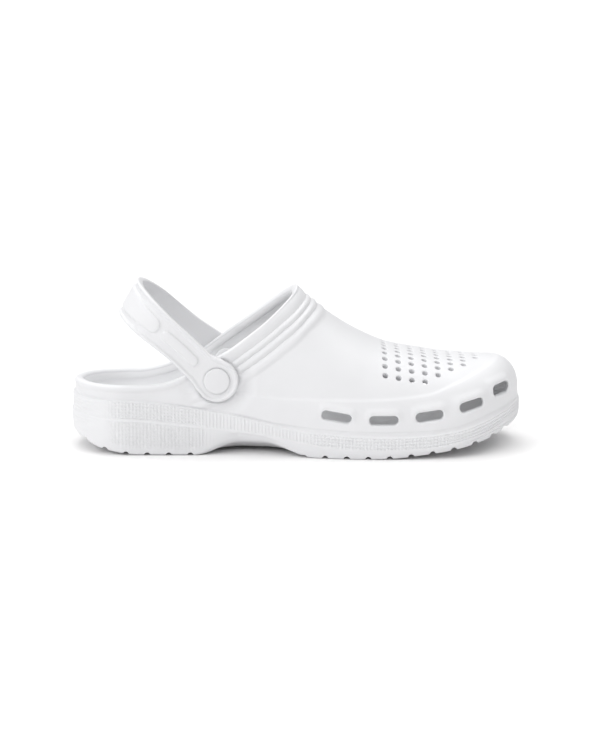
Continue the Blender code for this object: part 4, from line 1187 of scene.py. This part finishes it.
def build_strap(material):
    shell = Shell()
    edge = band_loop(0.0, STRAP_LENGTH, strap_half, 900)
    body = [shrunk(edge, inset) for inset, _ in STRAP_EDGE]
    loops = [shell.add(on_strap(flat, depth)) for flat, (_, depth) in zip(body, STRAP_EDGE)]
    shell.strips(loops)
    stems, seats, pads = [], [], []
    for end in (0.0, STRAP_LENGTH):
        centre = np.array((end, 0.0))
        stem = centre + circle(STEM_RADIUS + FIT_GAP + 0.1, 64)
        rings = [(centre + circle(BUTTON_SEAT_RADIUS + grow, 64), depth) for grow, depth in SEAT_EDGE]
        floor = 0.5 * STRAP_THICK - BUTTON_SEAT_DEPTH
        inner = centre + circle(BUTTON_RADIUS + 0.1, 64)
        rings += [(inner, 0.72), (inner, floor), (stem, floor), (stem, -0.5 * STRAP_THICK)]
        numbers = [shell.add(on_strap(flat, depth)) for flat, depth in rings]
        shell.strips(numbers)
        seats.append((rings[0][0], numbers[0]))
        stems.append((stem, numbers[-1]))

    def heel_half(run):
        share = 0.52 + 0.22 * smoothstep(*HEEL_PAD_GROW, np.minimum(run, STRAP_LENGTH - run))
        return share * (strap_half(run) - HEEL_PAD_BORDER)

    def arm_half(run):
        return np.full_like(run, ARM_PAD_HALF)

    near, far = ARM_PAD
    specs = (
        (HEEL_PAD_START, STRAP_LENGTH - HEEL_PAD_START, heel_half, 360),
        (near, far, arm_half, 120),
        (STRAP_LENGTH - far, STRAP_LENGTH - near, arm_half, 120),
    )
    for start, end, half, count in specs:
        loop = band_loop(start, end, half, count)
        rings = [(shrunk(loop, inset), depth) for inset, depth in PAD_EDGE]
        numbers = [shell.add(on_strap(flat, depth)) for flat, depth in rings]
        shell.strips(numbers)
        pads.append((rings[0][0], numbers[0]))
        fill(shell, (rings[-1][0], numbers[-1]), [], PAD_TOP, 1.6)
    fill(shell, (body[-1], loops[-1]), seats + pads, STRAP_PANEL, 1.4)
    fill(shell, (body[0], loops[0]), stems, -0.5 * STRAP_THICK, 2.2)
    return shell.build("strap", material, 50.0)


def lathe(name, profile, side, material, sides=96):
    """Piece of revolution about the pivot axis. profile rows are (distance from the axis, |y|)."""
    shell = Shell()
    pivot = float(pivot_x(side * PIVOT_SEAT))
    loops = []
    for radius, away in profile:
        ring = circle(max(radius, 0.02), sides)
        loops.append(shell.add([(pivot + a, side * away, PIVOT_Z + b) for a, b in ring]))
    if profile[0][0] > 0.0:
        loops.append(loops[0])
    else:
        shell.faces += [loops[0].tolist(), loops[-1].tolist()]
    shell.strips(loops)
    return shell.build(name, material, 50.0)


def build_rivet(name, side, material):
    face = PIVOT_SEAT + FIT_GAP + STRAP_THICK
    seat = face - BUTTON_SEAT_DEPTH + FIT_GAP
    end = PIVOT_SEAT - WALL - FIT_GAP - WASHER_THICK
    r = BUTTON_RADIUS
    profile = [(0.0, end), (1.8, end), (STEM_RADIUS - 0.8, end + 0.02), (STEM_RADIUS - 0.2, end + 0.25)]
    profile += [(STEM_RADIUS, end + 0.8), (STEM_RADIUS, seat), (r - 0.35, seat), (r - 0.08, seat + 0.1)]
    profile += [(r, seat + 0.4), (r, face - 0.5), (r - 0.06, face - 0.2), (r - 0.24, face + 0.05)]
    profile += [(r - 0.55, face + 0.22), (r - 0.95, face + 0.3), (r - 1.4, face + 0.32)]
    profile += [(share * r, face + lift) for share, lift in BUTTON_DOME]
    return lathe(name, profile, side, material)


def build_washer(name, side, material):
    outer = PIVOT_SEAT - WALL - FIT_GAP
    inner = outer - WASHER_THICK
    hole = STEM_RADIUS + FIT_GAP
    r = WASHER_RADIUS
    profile = [(hole, outer), (r - 0.3, outer), (r - 0.05, outer - 0.15), (r, outer - 0.5), (r, inner + 0.9)]
    profile += [(r - 0.1, inner + 0.5), (r - 0.4, inner + 0.15), (r - 0.9, inner), (hole + 0.5, inner)]
    profile += [(hole + 0.12, inner + 0.1), (hole, inner + 0.4)]
    return lathe(name, profile, side, material)


def set_inputs(node, values):
    for name, value in values.items():
        node.inputs[name].default_value = value
    return node


def foam(name, colour, roughness, grain, bump, painted_glow=0.0):
    """Moulded foam or plastic: fine grain, soft mottling and uneven gloss, all worked out in the material.

    The glow is a painted glow: emission that stands in for light passing through the thin wall onto the
    lining, and for light falling on the washer discs.
    """
    material = bpy.data.materials.new(name)
    material.use_nodes = True
    nodes, links = material.node_tree.nodes, material.node_tree.links
    shader = nodes["Principled BSDF"]
    place = nodes.new("ShaderNodeTexCoord")
    fine = set_inputs(nodes.new("ShaderNodeTexNoise"), {"Scale": grain, "Detail": 3.0})
    cloud = set_inputs(nodes.new("ShaderNodeTexNoise"), {"Scale": 34.0, "Detail": 4.0})
    for noise in (fine, cloud):
        links.new(place.outputs["Object"], noise.inputs["Vector"])
    tint = nodes.new("ShaderNodeValToRGB")
    tint.color_ramp.elements[0].position = 0.3
    tint.color_ramp.elements[1].position = 0.7
    tint.color_ramp.elements[0].color = (*[0.985 * part for part in colour], 1.0)
    tint.color_ramp.elements[1].color = (*[min(1.0, 1.012 * part) for part in colour], 1.0)
    links.new(cloud.outputs["Fac"], tint.inputs["Fac"])
    links.new(tint.outputs["Color"], shader.inputs["Base Color"])
    gloss = nodes.new("ShaderNodeMapRange")
    set_inputs(gloss, {"To Min": roughness - 0.06, "To Max": roughness + 0.06})
    links.new(cloud.outputs["Fac"], gloss.inputs["Value"])
    links.new(gloss.outputs["Result"], shader.inputs["Roughness"])
    lift = set_inputs(nodes.new("ShaderNodeBump"), {"Strength": bump, "Distance": 0.0002})
    links.new(fine.outputs["Fac"], lift.inputs["Height"])
    links.new(lift.outputs["Normal"], shader.inputs["Normal"])
    set_inputs(shader, {"Specular IOR Level": 0.35, "Emission Color": WHITE, "Emission Strength": painted_glow})
    return material


LIGHTS = (
    ("left_light", 1.16, (-0.72, -0.38, 0.53)),
    ("front_light", 0.68, (0.0, -0.7, 0.7)),
    ("right_light", 0.9, (0.4, 0.0, 0.92)),
    ("back_light", 1.34, (-0.2, 0.45, 0.87)),
)


def set_stage():
    """Pale floor, even studio light and the camera."""
    scene = bpy.context.scene
    scene.view_settings.view_transform = "Standard"
    size, level = 30.0, -0.0001
    corners = [(-size, -size, level), (size, -size, level), (size, size, level), (-size, size, level)]
    mesh = bpy.data.meshes.new("floor")
    mesh.from_pydata(corners, [], [(0, 1, 2, 3)])
    floor = bpy.data.objects.new("floor", mesh)
    scene.collection.objects.link(floor)
    material = bpy.data.materials.new("floor_paper")
    material.use_nodes = True
    shader = material.node_tree.nodes["Principled BSDF"]
    set_inputs(shader, {"Base Color": (0.89, 0.886, 0.886, 1.0), "Roughness": 0.9, "Specular IOR Level": 0.0})
    mesh.materials.append(material)
    world = bpy.data.worlds.new("studio")
    world.use_nodes = True
    set_inputs(world.node_tree.nodes["Background"], {"Color": WHITE, "Strength": 0.35})
    scene.world = world
    for name, power, place in LIGHTS:
        sun = bpy.data.lights.new(name, "SUN")
        sun.energy = power
        sun.angle = math.radians(45.0)
        lamp = bpy.data.objects.new(name, sun)
        lamp.rotation_euler = (-Vector(place)).to_track_quat("-Z", "Y").to_euler()
        scene.collection.objects.link(lamp)

    elevation, azimuth, distance, view_height = math.radians(12.0), math.radians(0.4), 1.5, 0.48
    target = Vector((0.00235, 0.0, 0.0432))
    data = bpy.data.cameras.new("camera")
    data.lens = data.sensor_width * distance / view_height
    camera = bpy.data.objects.new("camera", data)
    away = Vector((
        math.sin(azimuth) * math.cos(elevation),
        -math.cos(azimuth) * math.cos(elevation),
        math.sin(elevation),
    ))
    camera.location = target + distance * away
    camera.rotation_euler = (0.5 * math.pi - elevation, 0.0, azimuth)
    scene.collection.objects.link(camera)
    scene.camera = camera


def main():
    body = foam("white_foam", (0.752, 0.754, 0.768), 0.5, 2600.0, 0.25)
    # The lining foam is painted lighter than the body foam and given a faint painted glow; both stand in for
    # light that passes through the thin wall into the shoe.
    inside = foam("white_foam_inside_painted_light", (0.84, 0.842, 0.852), 0.6, 2600.0, 0.25, 0.012)
    strap = foam("white_strap_foam", (0.756, 0.758, 0.772), 0.48, 2600.0, 0.2)
    plastic = foam("white_button", (0.742, 0.744, 0.758), 0.4, 1800.0, 0.12)
    # The washer discs are painted lighter than the button plastic and given a painted glow, which stands in
    # for light falling on them in the shade inside the shoe.
    painted_light_disc = foam("white_disc", (0.86, 0.862, 0.872), 0.4, 1800.0, 0.12, 0.03)
    pieces = [
        (build_upper(body, inside), "clog_body", "body_foam"),
        (build_sole(body), "clog_body", "body_foam"),
        (build_strap(strap), "heel_strap", "strap_foam"),
    ]
    for label, side in (("lateral", -1.0), ("medial", 1.0)):
        pieces.append((build_rivet("button_" + label, side, plastic), "rivet_" + label, "button_plastic"))
        pieces.append((build_washer("disc_" + label, side, painted_light_disc), "washer_" + label, "button_plastic"))
    for piece, node, slot_name in pieces:
        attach(piece, "root")
        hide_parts(node)
    set_stage()


main()
